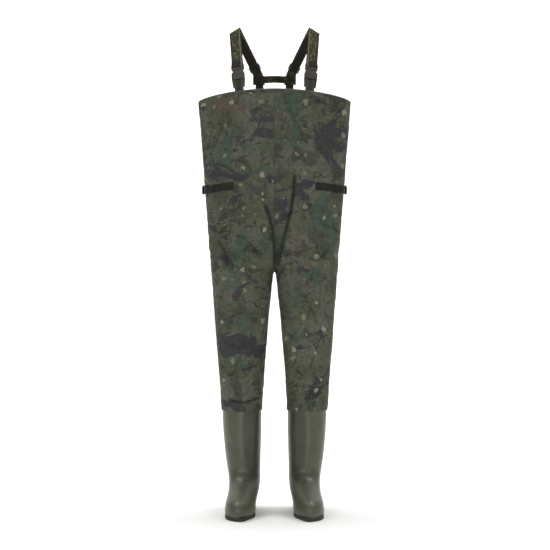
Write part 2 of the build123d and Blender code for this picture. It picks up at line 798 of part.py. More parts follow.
# free end of the front run: in from the side, round the lock's front bar and out along itself
SECOND_LAYER = SKIN_GAP + WEB / 2 + WEB + 1.0
WAIST_LOOP_R = LOCK_R + GAP + WEB / 2
loop_plan = lock_plan.offset(-waist_half)
with BuildPart() as waist_loop:
    with BuildSketch(loop_plan):
        with BuildLine():
            Polyline(on_skin(-45), on_skin(-38), (18, -WAIST_LOOP_R - 1), (FRONT_BAR, -WAIST_LOOP_R))
            ThreePointArc(
                (FRONT_BAR, -WAIST_LOOP_R),
                (FRONT_BAR - WAIST_LOOP_R, 0),
                (FRONT_BAR, WAIST_LOOP_R),
            )
            Polyline(
                (FRONT_BAR, WAIST_LOOP_R),
                (20, 1.2),
                on_skin(-38, SECOND_LAYER),
                on_skin(-45, SECOND_LAYER),
                on_skin(-52, SECOND_LAYER),
            )
        trace(line_width=WEB)
    extrude(amount=WAIST_WEB)
export_pair(waist_loop.part, "waist_tail")

# rear waist strap: round the lock's rear bar, then sewn along the back panel
anchor_run = [on_skin(back, ANCHOR_LIFT) for back in range(REAR_RUN_END, 2, -8)]
with BuildPart() as waist_anchor:
    with BuildSketch(loop_plan):
        with BuildLine():
            Polyline(*anchor_run, (REAR_BAR, -WAIST_LOOP_R))
            ThreePointArc(
                (REAR_BAR, -WAIST_LOOP_R),
                (REAR_BAR + WAIST_LOOP_R, 0),
                (REAR_BAR, WAIST_LOOP_R),
            )
            Polyline(
                (REAR_BAR, WAIST_LOOP_R),
                (-20, 1.4),
                on_skin(10, SECOND_LAYER),
                on_skin(24, SECOND_LAYER),
            )
        trace(line_width=WEB)
    extrude(amount=WAIST_WEB)
export_pair(waist_anchor.part, "waist_anchor")
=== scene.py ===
import bmesh
import bpy
import numpy as np
from math import atan2, cos, pi, radians, sin, sqrt
from mathutils import Matrix, Vector, noise
from mathutils.bvhtree import BVHTree


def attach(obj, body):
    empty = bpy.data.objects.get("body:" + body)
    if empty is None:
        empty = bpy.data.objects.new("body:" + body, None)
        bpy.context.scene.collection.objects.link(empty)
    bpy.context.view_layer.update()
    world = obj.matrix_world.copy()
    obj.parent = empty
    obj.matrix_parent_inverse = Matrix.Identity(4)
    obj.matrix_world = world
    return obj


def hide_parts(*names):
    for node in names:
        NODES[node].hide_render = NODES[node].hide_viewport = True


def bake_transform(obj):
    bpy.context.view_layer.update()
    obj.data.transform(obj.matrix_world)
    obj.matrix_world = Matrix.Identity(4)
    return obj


# Chest waders: cloth shell, moulded boots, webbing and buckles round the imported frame.
# Metres, +Z up, the wearer faces -Y. Left and right are as seen from the front: left is at -X.

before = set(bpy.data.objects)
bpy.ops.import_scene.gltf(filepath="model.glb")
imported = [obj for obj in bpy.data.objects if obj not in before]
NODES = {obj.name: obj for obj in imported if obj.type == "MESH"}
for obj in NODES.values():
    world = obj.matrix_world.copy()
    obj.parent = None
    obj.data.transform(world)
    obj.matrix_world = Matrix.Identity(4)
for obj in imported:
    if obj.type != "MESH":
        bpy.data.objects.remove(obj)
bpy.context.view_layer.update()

SIDES = {"left": -1, "right": 1}

# ---------------------------------------------------------------- sizes
BIB_Z = 1.395
BIB_Y = 0.043
LEAN = 0.0254
EDGE_ARC = 0.024
EDGE_SLOPE = 0.07
CLOTH = 0.0016
LET_OUT = 0.0007         # given back to the skin after smoothing
BELT_Z = 1.074           # height of the waist straps at the sides
HEM_LEG_Z = 0.335

# height, half width, half depth of the body
BODY_OVALS = [
    (1.4300, 0.2580, 0.1010),
    (1.3660, 0.2540, 0.1000),
    (1.2560, 0.2460, 0.0990),
    (1.1800, 0.2400, 0.0980),
    (1.0950, 0.2340, 0.0970),
    (1.0100, 0.2270, 0.0960),
    (0.9330, 0.2210, 0.0945),
    (0.8660, 0.2155, 0.0925),
    (0.8420, 0.2000, 0.0890),
    (0.8220, 0.1600, 0.0800),
    (0.8100, 0.1100, 0.0660),
    (0.8050, 0.0600, 0.0500),
]
# height, middle in X, half width, half depth of a leg
LEG_OVALS = [
    (0.9450, 0.0920, 0.0845, 0.0680),
    (0.9000, 0.1005, 0.1020, 0.0850),
    (0.8500, 0.1070, 0.1080, 0.0895),
    (0.8120, 0.1070, 0.1060, 0.0905),
    (0.7710, 0.1085, 0.1012, 0.0895),
    (0.7100, 0.1089, 0.0963, 0.0870),
    (0.6500, 0.1094, 0.0908, 0.0835),
    (0.5900, 0.1098, 0.0852, 0.0800),
    (0.5310, 0.1104, 0.0802, 0.0775),
    (0.4300, 0.1102, 0.0729, 0.0745),
    (0.3350, 0.1096, 0.0680, 0.0730),
    (0.3150, 0.1092, 0.0672, 0.0730),
]
# height, shift outward, middle in Y, half width, half depth of a boot
BOOT_OVALS = [
    (0.0120, 0.0026, 0.0004, 0.0460, 0.1464),
    (0.0240, 0.0022, 0.0006, 0.0486, 0.1480),
    (0.0360, 0.0014, 0.0010, 0.0494, 0.1470),
    (0.0480, 0.0002, 0.0040, 0.0494, 0.1425),
    (0.0600, -0.0024, 0.0105, 0.0494, 0.1340),
    (0.0720, -0.0048, 0.0215, 0.0502, 0.1215),
    (0.0840, -0.0058, 0.0350, 0.0511, 0.1070),
    (0.0980, -0.0052, 0.0505, 0.0521, 0.0905),
    (0.1120, -0.0037, 0.0635, 0.0532, 0.0770),
    (0.1300, -0.0016, 0.0720, 0.0548, 0.0690),
    (0.1500, 0.0000, 0.0755, 0.0568, 0.0665),
    (0.1900, 0.0024, 0.0750, 0.0598, 0.0664),
    (0.2310, 0.0037, 0.0740, 0.0619, 0.0668),
    (0.2750, 0.0045, 0.0720, 0.0642, 0.0680),
    (0.3220, 0.0053, 0.0706, 0.0653, 0.0690),
    (0.3520, 0.0056, 0.0697, 0.0657, 0.0694),
]
FOOT_SHAPE = [
    (0.0, 1.0),
    (0.68, 0.83),
    (1.0, 0.42),
    (0.84, -0.25),
    (0.66, -0.76),
    (0.0, -1.0),
    (-0.66, -0.76),
    (-0.78, -0.25),
    (-1.0, 0.42),
    (-0.58, 0.81),
]
ANKLE_X = 0.104
SHAFT_Y = 0.070
SPLAY = 2.5
BOOT_WALL = 0.0035
RING_POINTS = 120
SOLE_TOP = 0.012


def centre_y(z):
    """Middle of the garment in Y: the bib leans back a little."""
    return BIB_Y + LEAN * (BIB_Z - z)


def edge_z(x, y):
    """Height of the bib's top edge over a point of the plan."""
    front = BIB_Y - BODY_OVALS[1][2]
    return BIB_Z - EDGE_ARC * (x / BODY_OVALS[1][1]) ** 2 - EDGE_SLOPE * (y - front)


def smooth_table(table, z):
    """Rows of a table interpolated at heights z without overshoot (monotone cubic)."""
    rows = np.array(sorted(table), float)
    x = rows[:, 0]
    out = []
    for column in rows[:, 1:].T:
        h = np.diff(x)
        d = np.diff(column) / h
        m = np.zeros_like(x)
        for i in range(1, len(x) - 1):
            if d[i - 1] * d[i] > 0:
                w1 = 2 * h[i] + h[i - 1]
                w2 = h[i] + 2 * h[i - 1]
                m[i] = (w1 + w2) / (w1 / d[i - 1] + w2 / d[i])
        m[0] = d[0]
        m[-1] = d[-1]
        k = np.clip(np.searchsorted(x, z) - 1, 0, len(h) - 1)
        t = np.clip((z - x[k]) / h[k], 0, 1)
        out.append(
            (2 * t**3 - 3 * t**2 + 1) * column[k]
            + (t**3 - 2 * t**2 + t) * h[k] * m[k]
            + (-2 * t**3 + 3 * t**2) * column[k + 1]
            + (t**3 - t**2) * h[k] * m[k + 1]
        )
    return np.array(out)


# ---------------------------------------------------------------- mesh helpers
def add_mesh(name, verts, faces, materials=()):
    """A smooth-shaded mesh object in the scene."""
    mesh = bpy.data.meshes.new(name)
    mesh.from_pydata([tuple(v) for v in verts], [], [tuple(f) for f in faces])
    mesh.update()
    for material in materials:
        mesh.materials.append(material)
    obj = bpy.data.objects.new(name, mesh)
    bpy.context.scene.collection.objects.link(obj)
    mesh.polygons.foreach_set("use_smooth", [True] * len(mesh.polygons))
    return obj


def apply_modifiers(obj):
    """Replace the object's mesh by its evaluated one."""
    bpy.context.view_layer.update()
    graph = bpy.context.evaluated_depsgraph_get()
    fresh = bpy.data.meshes.new_from_object(obj.evaluated_get(graph))
    obj.modifiers.clear()
    old = obj.data
    obj.data = fresh
    bpy.data.meshes.remove(old)


def grid_faces(rows, columns, closed=True, offset=0):
    """Quads over rows x columns points; closed joins the last column to the first."""
    faces = []
    last = columns if closed else columns - 1
    for r in range(rows - 1):
        for c in range(last):
            a = offset + r * columns + c
            b = offset + r * columns + (c + 1) % columns
            faces.append((a, b, b + columns, a + columns))
    return faces


def coords_of(obj):
    co = np.empty(len(obj.data.vertices) * 3)
    obj.data.vertices.foreach_get("co", co)
    return co.reshape(-1, 3)


def set_coords(obj, co):
    obj.data.vertices.foreach_set("co", co.ravel())
    obj.data.update()


def normals_of(obj):
    n = np.empty(len(obj.data.vertices) * 3)
    obj.data.vertices.foreach_get("normal", n)
    return n.reshape(-1, 3)


def set_layer(obj, key, values):
    """Store one value per point under a name that the materials read."""
    layer = obj.data.attributes.new(key, "FLOAT", "POINT")
    layer.data.foreach_set("value", np.asarray(values, np.float32))


def face_outward(obj, fill=False):
    """Turn every face outward; fill closes open ends first."""
    bm = bmesh.new()
    bm.from_mesh(obj.data)
    if fill:
        bmesh.ops.holes_fill(bm, edges=[e for e in bm.edges if e.is_boundary])
    bmesh.ops.recalc_face_normals(bm, faces=bm.faces)
    bm.to_mesh(obj.data)
    bm.free()


def slab_faces(rows, columns):
    """Faces of a slab: a grid, the same grid turned over behind it, and the rim between them."""
    total = rows * columns
    faces = grid_faces(rows, columns, closed=False)
    faces += [tuple(i + total for i in reversed(face)) for face in faces]
    rim = list(range(columns)) + [r * columns + columns - 1 for r in range(1, rows)]
    rim += [(rows - 1) * columns + c for c in range(columns - 2, -1, -1)]
    rim += [r * columns for r in range(rows - 2, 0, -1)]
    faces += [(b, a, a + total, b + total) for a, b in zip(rim, rim[1:] + rim[:1])]
    return faces


def noise_at(co, scale, seed=0.0):
    """Smooth noise from -1 to 1 at every point."""
    shift = Vector((seed * 3.1, seed * 7.7, seed * 1.3))
    return np.array([noise.noise(Vector(p * scale) + shift) for p in co])


# ---------------------------------------------------------------- materials
def srgb(r, g, b):
    """A colour given in 0-255 display values, as the linear values that shaders take."""
    out = []
    for c in (r, g, b):
        c = c / 255
        out.append(c / 12.92 if c <= 0.04045 else ((c + 0.055) / 1.055) ** 2.4)
    return (*out, 1.0)


class Shader:
    """A node tree with short ways to add and join nodes."""

    def __init__(self, name, roughness=0.8, **inputs):
        self.material = bpy.data.materials.new(name)
        self.material.use_nodes = True
        self.tree = self.material.node_tree
        self.bsdf = self.tree.nodes["Principled BSDF"]
        self.bsdf.inputs["Roughness"].default_value = roughness
        for key, value in inputs.items():
            self.bsdf.inputs[key.replace("_", " ")].default_value = value

    def node(self, kind, **settings):
        n = self.tree.nodes.new(kind)
        for key, value in settings.items():
            setattr(n, key, value)
        return n

    def join(self, a, b):
        self.tree.links.new(a, b)

    def position(self, scale=1.0, offset=(0, 0, 0)):
        """Object coordinates, stretched and shifted."""
        source = self.node("ShaderNodeTexCoord").outputs["Object"]
        mapping = self.node("ShaderNodeMapping")
        mapping.inputs["Location"].default_value = offset
        size = scale if hasattr(scale, "__len__") else (scale, scale, scale)
        mapping.inputs["Scale"].default_value = size
        self.join(source, mapping.inputs["Vector"])
        return mapping.outputs["Vector"]

    def noise(self, vector, scale, detail=2.0, rough=0.5, distortion=0.0):
        n = self.node("ShaderNodeTexNoise")
        n.inputs["Scale"].default_value = scale
        n.inputs["Detail"].default_value = detail
        n.inputs["Roughness"].default_value = rough
        n.inputs["Distortion"].default_value = distortion
        self.join(vector, n.inputs["Vector"])
        return n.outputs["Fac"]

    def feed(self, socket, value):
        """Set a socket to a constant, or join it to another node's output."""
        if isinstance(value, (int, float, tuple)):
            socket.default_value = value
        else:
            self.join(value, socket)

    def math(self, operation, *values):
        """One math node over constants and other nodes' outputs."""
        n = self.node("ShaderNodeMath", operation=operation)
        for socket, value in zip(n.inputs, values):
            self.feed(socket, value)
        return n.outputs[0]

    def times(self, a, b):
        return self.math("MULTIPLY", a, b)

    def plus(self, a, b):
        return self.math("ADD", a, b)

    def step(self, value, low, high):
        """0 below low, 1 above high, smooth between; low may be above high."""
        n = self.node("ShaderNodeMapRange", interpolation_type="SMOOTHSTEP")
        n.inputs["From Min"].default_value = min(low, high)
        n.inputs["From Max"].default_value = max(low, high)
        n.inputs["To Min"].default_value = 0.0 if low < high else 1.0
        n.inputs["To Max"].default_value = 1.0 if low < high else 0.0
        self.join(value, n.inputs["Value"])
        return n.outputs["Result"]

    def mix(self, factor, a, b, blend="MIX"):
        n = self.node("ShaderNodeMix", data_type="RGBA", blend_type=blend)
        for i, value in ((0, factor), (6, a), (7, b)):
            self.feed(n.inputs[i], value)
        return n.outputs[2]

    def attribute(self, name):
        return self.node("ShaderNodeAttribute", attribute_name=name).outputs["Fac"]

    def colour(self, value):
        self.join(value, self.bsdf.inputs["Base Color"])

    def roughness(self, value):
        self.join(value, self.bsdf.inputs["Roughness"])

    def bump(self, height, distance, strength=1.0):
        n = self.node("ShaderNodeBump")
        n.inputs["Strength"].default_value = strength
        n.inputs["Distance"].default_value = distance
        self.join(height, n.inputs["Height"])
        self.join(n.outputs["Normal"], self.bsdf.inputs["Normal"])


def weave(s, vector, thread):
    """Height of a plain weave whose threads are that far apart, in metres."""
    rows = []
    for direction in ("X", "Z"):
        w = s.node("ShaderNodeTexWave", bands_direction=direction, wave_profile="SIN")
        w.inputs["Scale"].default_value = 0.314 / thread
        w.inputs["Distortion"].default_value = 0.0
        s.join(vector, w.inputs["Vector"])
        rows.append(w.outputs["Fac"])
    return s.times(rows[0], rows[1])


def camo(name, offset):
    """Muted woodland print on woven nylon; offset shifts the print from panel to panel."""
    s = Shader(name, roughness=0.82, Specular_IOR_Level=0.22)
    p = s.position(1.0, offset)

    def field(scale, detail, shift, stretch=(1.0, 0.35, 1.0), warp=0.6, rough=0.55):
        """One layer of the print: a noise field with its own shift and stretch."""
        moved = tuple(c + shift for c in offset)
        return s.noise(s.position(stretch, moved), scale, detail, rough, warp)

    colour = s.mix(s.step(field(7.0, 3.0, 0.0), 0.42, 0.58), srgb(88, 90, 78), srgb(76, 80, 62))
    green = field(7.5, 3.0, 3.0, (1.0, 0.35, 0.8), 0.8)
    colour = s.mix(s.step(green, 0.55, 0.62), colour, srgb(67, 80, 68))
    brown = field(7.5, 2.0, 7.0, (1.0, 0.35, 0.9))
    colour = s.mix(s.step(brown, 0.61, 0.67), colour, srgb(87, 78, 69))
    grey = field(12.0, 4.0, 13.0, (1.2, 0.35, 0.8), 0.8)
    colour = s.mix(s.step(grey, 0.575, 0.595), colour, srgb(68, 70, 62))
    dark = field(9.0, 5.0, 11.0, (0.9, 0.35, 1.1), 0.8, 0.58)
    colour = s.mix(s.step(dark, 0.580, 0.588), colour, srgb(55, 53, 58))
    lines = field(17.0, 3.0, 41.3, (1.0, 0.35, 0.9), 1.2)
    thin = s.step(s.math("ABSOLUTE", s.math("SUBTRACT", lines, 0.5)), 0.026, 0.012)
    twigs = s.times(thin, s.step(field(13.0, 1.0, 23.0), 0.53, 0.57))
    colour = s.mix(s.times(twigs, 0.9), colour, srgb(52, 54, 42))
    moss = field(32.0, 3.0, 29.0, (1.0, 0.35, 1.2), 0.7)
    colour = s.mix(s.step(moss, 0.61, 0.63), colour, srgb(56, 59, 46))
    mottle = s.noise(p, 85.0, 4.0, 0.7)
    light = s.mix(s.step(mottle, 0.36, 0.64), (0.74, 0.74, 0.74, 1.0), (1.16, 1.16, 1.14, 1.0))
    colour = s.mix(1.0, colour, light, "MULTIPLY")
    cells = s.node("ShaderNodeTexVoronoi", feature="F1")
    cells.inputs["Scale"].default_value = 31.0
    s.join(s.position((1.0, 0.5, 0.95), offset), cells.inputs["Vector"])
    tint = s.node("ShaderNodeSeparateColor")
    s.join(cells.outputs["Color"], tint.inputs["Color"])
    ragged = s.times(s.noise(p, 95.0, 3.0), 0.55)
    distance = s.plus(cells.outputs["Distance"], ragged)
    size = s.times(s.step(tint.outputs["Blue"], 0.1, 1.0), 0.22)
    flecks = s.step(s.math("SUBTRACT", s.plus(size, 0.36), distance), 0.0, 0.02)
    fleck_tone = s.mix(s.step(tint.outputs["Green"], 0.3, 0.7), srgb(140, 143, 122), srgb(116, 120, 92))
    flecks = s.times(flecks, s.step(tint.outputs["Red"], 0.60, 0.62))
    colour = s.mix(s.times(flecks, 0.9), colour, fleck_tone)
    fade = s.noise(p, 3.0, 3.0, 0.6)
    colour = s.mix(s.step(fade, 0.3, 0.75), colour, s.mix(0.10, colour, srgb(120, 122, 112)))
    ridge_wear_and_highlight = s.attribute("ridge")
    colour = s.mix(s.times(ridge_wear_and_highlight, 0.35), colour, srgb(104, 104, 92))
    # painted shade: the fold attribute darkens the cloth in its creases, in the crotch recess and at the
    # crotch gap
    shade = s.times(s.attribute("fold"), 0.9)
    colour = s.mix(shade, colour, s.mix(1.0, colour, (0.22, 0.22, 0.20, 1.0), "MULTIPLY"))
    s.colour(colour)
    cloth = weave(s, s.position(1.0), 0.0011)
    crinkle = s.noise(p, 260.0, 3.0, 0.6)
    height = s.plus(s.times(cloth, 0.5), s.times(crinkle, 0.5))
    s.bump(height, 0.00035, 0.55)
    s.roughness(s.plus(0.74, s.times(crinkle, 0.16)))
    return s.material


def lining(name):
    """The proofed inside of the cloth."""
    s = Shader(name, roughness=0.55)
    p = s.position()
    shade = s.noise(p, 40.0, 3.0)
    s.colour(s.mix(shade, srgb(58, 61, 54), srgb(70, 73, 64)))
    s.bump(weave(s, p, 0.0012), 0.0002, 0.4)
    return s.material


def rubber(name, colour_a, colour_b, roughness, grain):
    """Moulded PVC: cloudy colour, a fine skin and dull scuffs."""
    s = Shader(name, roughness=roughness, Specular_IOR_Level=0.34)
    p = s.position()
    cloud = s.noise(p, 16.0, 4.0, 0.55)
    colour = s.mix(s.step(cloud, 0.35, 0.68), colour_a, colour_b)
    scuff = s.step(s.noise(s.position((1.0, 1.0, 0.3)), 90.0, 4.0, 0.7), 0.62, 0.80)
    colour = s.mix(s.times(scuff, 0.25), colour, srgb(122, 124, 108))
    # painted shade: the inner side of the boot's shaft, facing the other boot, is darkened
    colour = s.mix(s.attribute("inner"), colour, s.mix(1.0, colour, (0.70, 0.70, 0.70, 1.0), "MULTIPLY"))
    # painted highlight: paler along the shaft's front ridge
    colour = s.mix(s.times(s.attribute("ridge"), 0.40), colour, srgb(118, 120, 106))
    s.colour(colour)
    s.roughness(s.plus(roughness - 0.05, s.times(cloud, 0.14)))
    skin = s.noise(p, 700.0, 2.0)
    wide = s.noise(p, 28.0, 2.0)
    s.bump(s.plus(s.times(skin, 0.25), s.times(wide, 0.75)), grain, 0.6)
    return s.material


def plastic(name, colour_a, colour_b, roughness=0.42):
    """Moulded acetal with a fine matt grain and lighter worn patches."""
    s = Shader(name, roughness=roughness, Specular_IOR_Level=0.5)
    p = s.position()
    cloud = s.noise(p, 60.0, 4.0, 0.6)
    s.colour(s.mix(s.step(cloud, 0.4, 0.7), colour_a, colour_b))
    s.roughness(s.plus(roughness - 0.06, s.times(cloud, 0.18)))
    s.bump(s.noise(p, 2200.0, 2.0), 0.00006, 0.5)
    return s.material


def webbing(name, ground, printed=None, mark=None, edge_line=None, one_edge=False, rib=0.0016):
    """Woven strap; printed and mark are camouflage blots on its face, edge_line a pale thread."""
    s = Shader(name, roughness=0.84, Specular_IOR_Level=0.3)
    across = s.attribute("across")
    along = s.attribute("along")
    p = s.position()
    colour = s.mix(s.noise(p, 120.0, 3.0), ground, tuple(c * 1.3 for c in ground[:3]) + (1.0,))
    side = across if one_edge else s.math("ABSOLUTE", across)
    if printed:
        blots = s.noise(s.position((1.0, 1.0, 0.8)), 60.0, 3.0, 0.6, 0.8)
        colour = s.mix(s.step(blots, 0.50, 0.53), colour, printed)
    if mark:
        marks = s.noise(s.position((1.3, 1.0, 0.8), (5.0, 5.0, 5.0)), 110.0, 3.0, 0.6, 0.6)
        inner = s.step(s.math("ABSOLUTE", across), 0.66, 0.52)
        colour = s.mix(s.times(s.step(marks, 0.53, 0.56), inner), colour, mark)
    colour = s.mix(s.attribute("reverse"), colour, srgb(42, 36, 30))
    if edge_line:
        line = s.times(s.step(side, 0.64, 0.69), s.step(side, 0.84, 0.79))
        dashes = s.math("SINE", s.times(along, 2 * pi / 0.0032))
        line = s.times(line, s.step(dashes, -0.95, 0.0))
        colour = s.mix(s.times(line, 0.9), colour, edge_line)
    s.colour(colour)
    ribs = s.math("SINE", s.times(along, 2 * pi / rib))
    threads = s.math("SINE", s.times(across, 70.0))
    height = s.plus(s.times(ribs, 0.6), s.times(threads, 0.4))
    s.bump(height, 0.00025, 0.7)
    return s.material


def thread(name, tone):
    """Twisted sewing thread."""
    s = Shader(name, roughness=0.6, Sheen_Weight=0.2, Sheen_Roughness=0.4)
    fibre = s.noise(s.position((1.0, 1.0, 4.0)), 900.0, 2.0)
    s.colour(s.mix(fibre, tone, tuple(c * 1.6 for c in tone[:3]) + (1.0,)))
    s.bump(fibre, 0.0002, 0.5)
    return s.material


PRINT_SHIFT = {
    "left_front": (0.0, 0.0, 0.0),
    "right_front": (1.7, 0.4, 0.9),
    "left_back": (3.1, 0.8, 2.2),
    "right_back": (4.6, 1.1, 0.4),
}
CAMO = {key: camo(f"camo_{key}", shift) for key, shift in PRINT_SHIFT.items()}
CAMO_HEM = camo("camo_hem", (8.2, 2.0, 5.5))
LINING = lining("proofed_lining")
BOOT = rubber("boot_olive_pvc", srgb(75, 77, 62), srgb(84, 86, 70), 0.32, 0.0005)
SOLE = rubber("sole_rubber", srgb(44, 45, 37), srgb(54, 55, 46), 0.62, 0.0003)
FELT = lining("insole_felt")
TAPE = plastic("seam_tape", srgb(46, 48, 43), srgb(54, 56, 50), 0.5)
FRONT_WEBBING = webbing(
    "front_strap_webbing",
    srgb(48, 46, 35),
    printed=srgb(64, 62, 47),
    mark=srgb(98, 96, 68),
    edge_line=srgb(146, 146, 112),
    one_edge=True,
)
REAR_WEBBING = webbing(
    "rear_strap_webbing",
    srgb(54, 51, 36),
    printed=srgb(80, 77, 54),
    mark=srgb(46, 40, 31),
    edge_line=srgb(92, 87, 68),
    one_edge=True,
)
YOKE_WEBBING = webbing("yoke_webbing", srgb(38, 31, 24), printed=srgb(74, 71, 48), mark=srgb(30, 25, 20))
TAB_WEBBING = webbing(
    "tab_webbing", srgb(50, 48, 41), printed=srgb(60, 58, 47), edge_line=srgb(128, 128, 106)
)
WAIST_WEBBING = webbing("waist_webbing", srgb(26, 28, 20), printed=srgb(34, 37, 27))
BUCKLE = plastic("buckle_plastic", srgb(50, 43, 36), srgb(60, 52, 43))
BUCKLE_GREY = plastic("socket_plastic", srgb(52, 47, 41), srgb(62, 57, 50))
LOCK_GREY = plastic("lock_plastic", srgb(84, 84, 78), srgb(98, 98, 92), 0.38)
DARK_PLASTIC = plastic("slider_plastic", srgb(38, 33, 29), srgb(48, 43, 38))
STITCH = thread("olive_thread", srgb(70, 72, 58))
STITCH_DARK = thread("dark_thread", srgb(26, 24, 20))


# ---------------------------------------------------------------- cloth shell
def oval_solid(table, side, low, high, rows, columns=160):
    """Closed tube through a table of ovals; side 0 is the body, -1 and 1 the legs."""
    z = np.linspace(low, high, rows)
    values = smooth_table(table, z)
    middle = side * values[0] if side else np.zeros(rows)
    half_w, half_d = values[-2], values[-1]
    angle = np.linspace(0, 2 * pi, columns, endpoint=False)
    verts = []
    for i in range(rows):
        for a in angle:
            verts.append((middle[i] + half_w[i] * sin(a), centre_y(z[i]) - half_d[i] * cos(a), z[i]))
    faces = grid_faces(rows, columns)
    faces.append(tuple(reversed(range(columns))))
    faces.append(tuple((rows - 1) * columns + c for c in range(columns)))
    return verts, faces


def crease(co, normal, points, facing, width, depth, lip=0.30):
    """Push a soft valley into the front (facing -1) or back (1) along a line, with raised lips."""
    flat = co[:, [0, 2]]
    nearest = np.full(len(co), 9.0)
    for a, b in zip(points[:-1], points[1:]):
        a, b = np.array(a), np.array(b)
        t = np.clip(((flat - a) @ (b - a)) / ((b - a) @ (b - a)), 0, 1)
        nearest = np.minimum(nearest, np.linalg.norm(flat - (a + t[:, None] * (b - a)), axis=1))
    ends = np.minimum(
        np.linalg.norm(flat - np.array(points[0]), axis=1),
        np.linalg.norm(flat - np.array(points[-1]), axis=1),
    )
    fade = np.clip(ends / (4 * width), 0.15, 1)
    fade *= np.clip(normal[:, 1] * facing / 0.25, 0, 1)
    valley = np.exp(-((nearest / width) ** 2)) * fade
    lips = np.exp(-(((nearest - 1.7 * width) / (0.8 * width)) ** 2)) * fade
    return normal * ((lip * lips - valley) * depth)[:, None], valley


# lines on the cloth: points as (x, z), then width, depth
FRONT_CREASES = [
    ([(-0.034, 1.03), (-0.018, 0.978), (-0.006, 0.935), (0.0, 0.87), (0.004, 0.8)], 0.0050, 0.0080),
    ([(0.067, 1.125), (0.063, 1.060), (0.056, 1.008), (0.040, 0.940), (0.008, 0.800)], 0.0050, 0.0080),
    ([(0.014, 0.992), (0.044, 0.980)], 0.0040, 0.0030),
    ([(-0.188, 0.905), (-0.165, 0.862), (-0.150, 0.815)], 0.0055, 0.0048),
    ([(-0.176, 0.882), (-0.140, 0.850), (-0.105, 0.842)], 0.0055, 0.0034),
    ([(0.186, 0.880), (0.160, 0.850), (0.120, 0.836)], 0.0055, 0.0036),
    ([(-0.020, 0.845), (-0.060, 0.868), (-0.110, 0.874)], 0.0060, 0.0036),
    ([(0.024, 0.838), (0.066, 0.862), (0.112, 0.866)], 0.0060, 0.0034),
    ([(-0.158, 0.3785), (-0.13, 0.368), (-0.104, 0.3645), (-0.076, 0.371), (-0.048, 0.381)],
     0.0040, 0.0056),
    ([(-0.104, 0.3645), (-0.080, 0.361), (-0.058, 0.360)], 0.0036, 0.0034),
    ([(-0.150, 0.398), (-0.112, 0.392), (-0.070, 0.402)], 0.0050, 0.0024),
    ([(0.160, 0.402), (0.128, 0.392), (0.096, 0.396)], 0.0050, 0.0024),
    ([(-0.160, 0.560), (-0.120, 0.548), (-0.080, 0.556)], 0.0070, 0.0022),
    ([(0.064, 0.600), (0.104, 0.584), (0.150, 0.592)], 0.0070, 0.0022),
    ([(-0.150, 1.335), (-0.172, 1.290), (-0.186, 1.230)], 0.0090, 0.0018),
    ([(0.118, 1.372), (0.160, 1.350), (0.214, 1.320)], 0.0055, 0.0032),
]


def pair(points, width, depth):
    """A crease and its mirror image."""
    return [(points, width, depth), ([(-x, z) for x, z in points], width, depth)]


BACK_CREASES = [
    *pair([(-0.020, 0.950), (-0.060, 0.905), (-0.120, 0.880)], 0.0080, 0.0040),
    ([(0.0, 1.000), (0.002, 0.900), (0.0, 0.840)], 0.0070, 0.0038),
    ([(-0.165, 0.590), (-0.115, 0.572), (-0.060, 0.584)], 0.0080, 0.0034),
    ([(0.060, 0.600), (0.112, 0.580), (0.162, 0.592)], 0.0080, 0.0034),
    ([(-0.160, 0.550), (-0.110, 0.540), (-0.066, 0.546)], 0.0070, 0.0026),
    *pair([(-0.200, 1.068), (-0.160, 1.120), (-0.130, 1.200)], 0.0090, 0.0030),
    *pair([(-0.196, 1.060), (-0.150, 1.000), (-0.120, 0.930)], 0.0090, 0.0030),
    ([(0.150, 0.392), (0.110, 0.380), (0.070, 0.390)], 0.0050, 0.0030),
    ([(-0.150, 0.400), (-0.110, 0.388), (-0.070, 0.396)], 0.0050, 0.0030),
]


def still_zones(co):
    """0 where the cloth must stay on the frame (hem, boots' tops, waist straps), 1 elsewhere."""
    x, y, z = co.T
    top = np.clip((edge_z(x, y) - z - 0.016) / 0.05, 0, 1)
    low = np.clip((z - HEM_LEG_Z - 0.004) / 0.03, 0, 1)
    belt = np.clip((np.abs(z - BELT_Z) - 0.020) / 0.03, 0, 1)
    away = np.clip((0.120 - np.abs(x)) / 0.02, 0, 1)
    return top * low * np.maximum(belt, away)


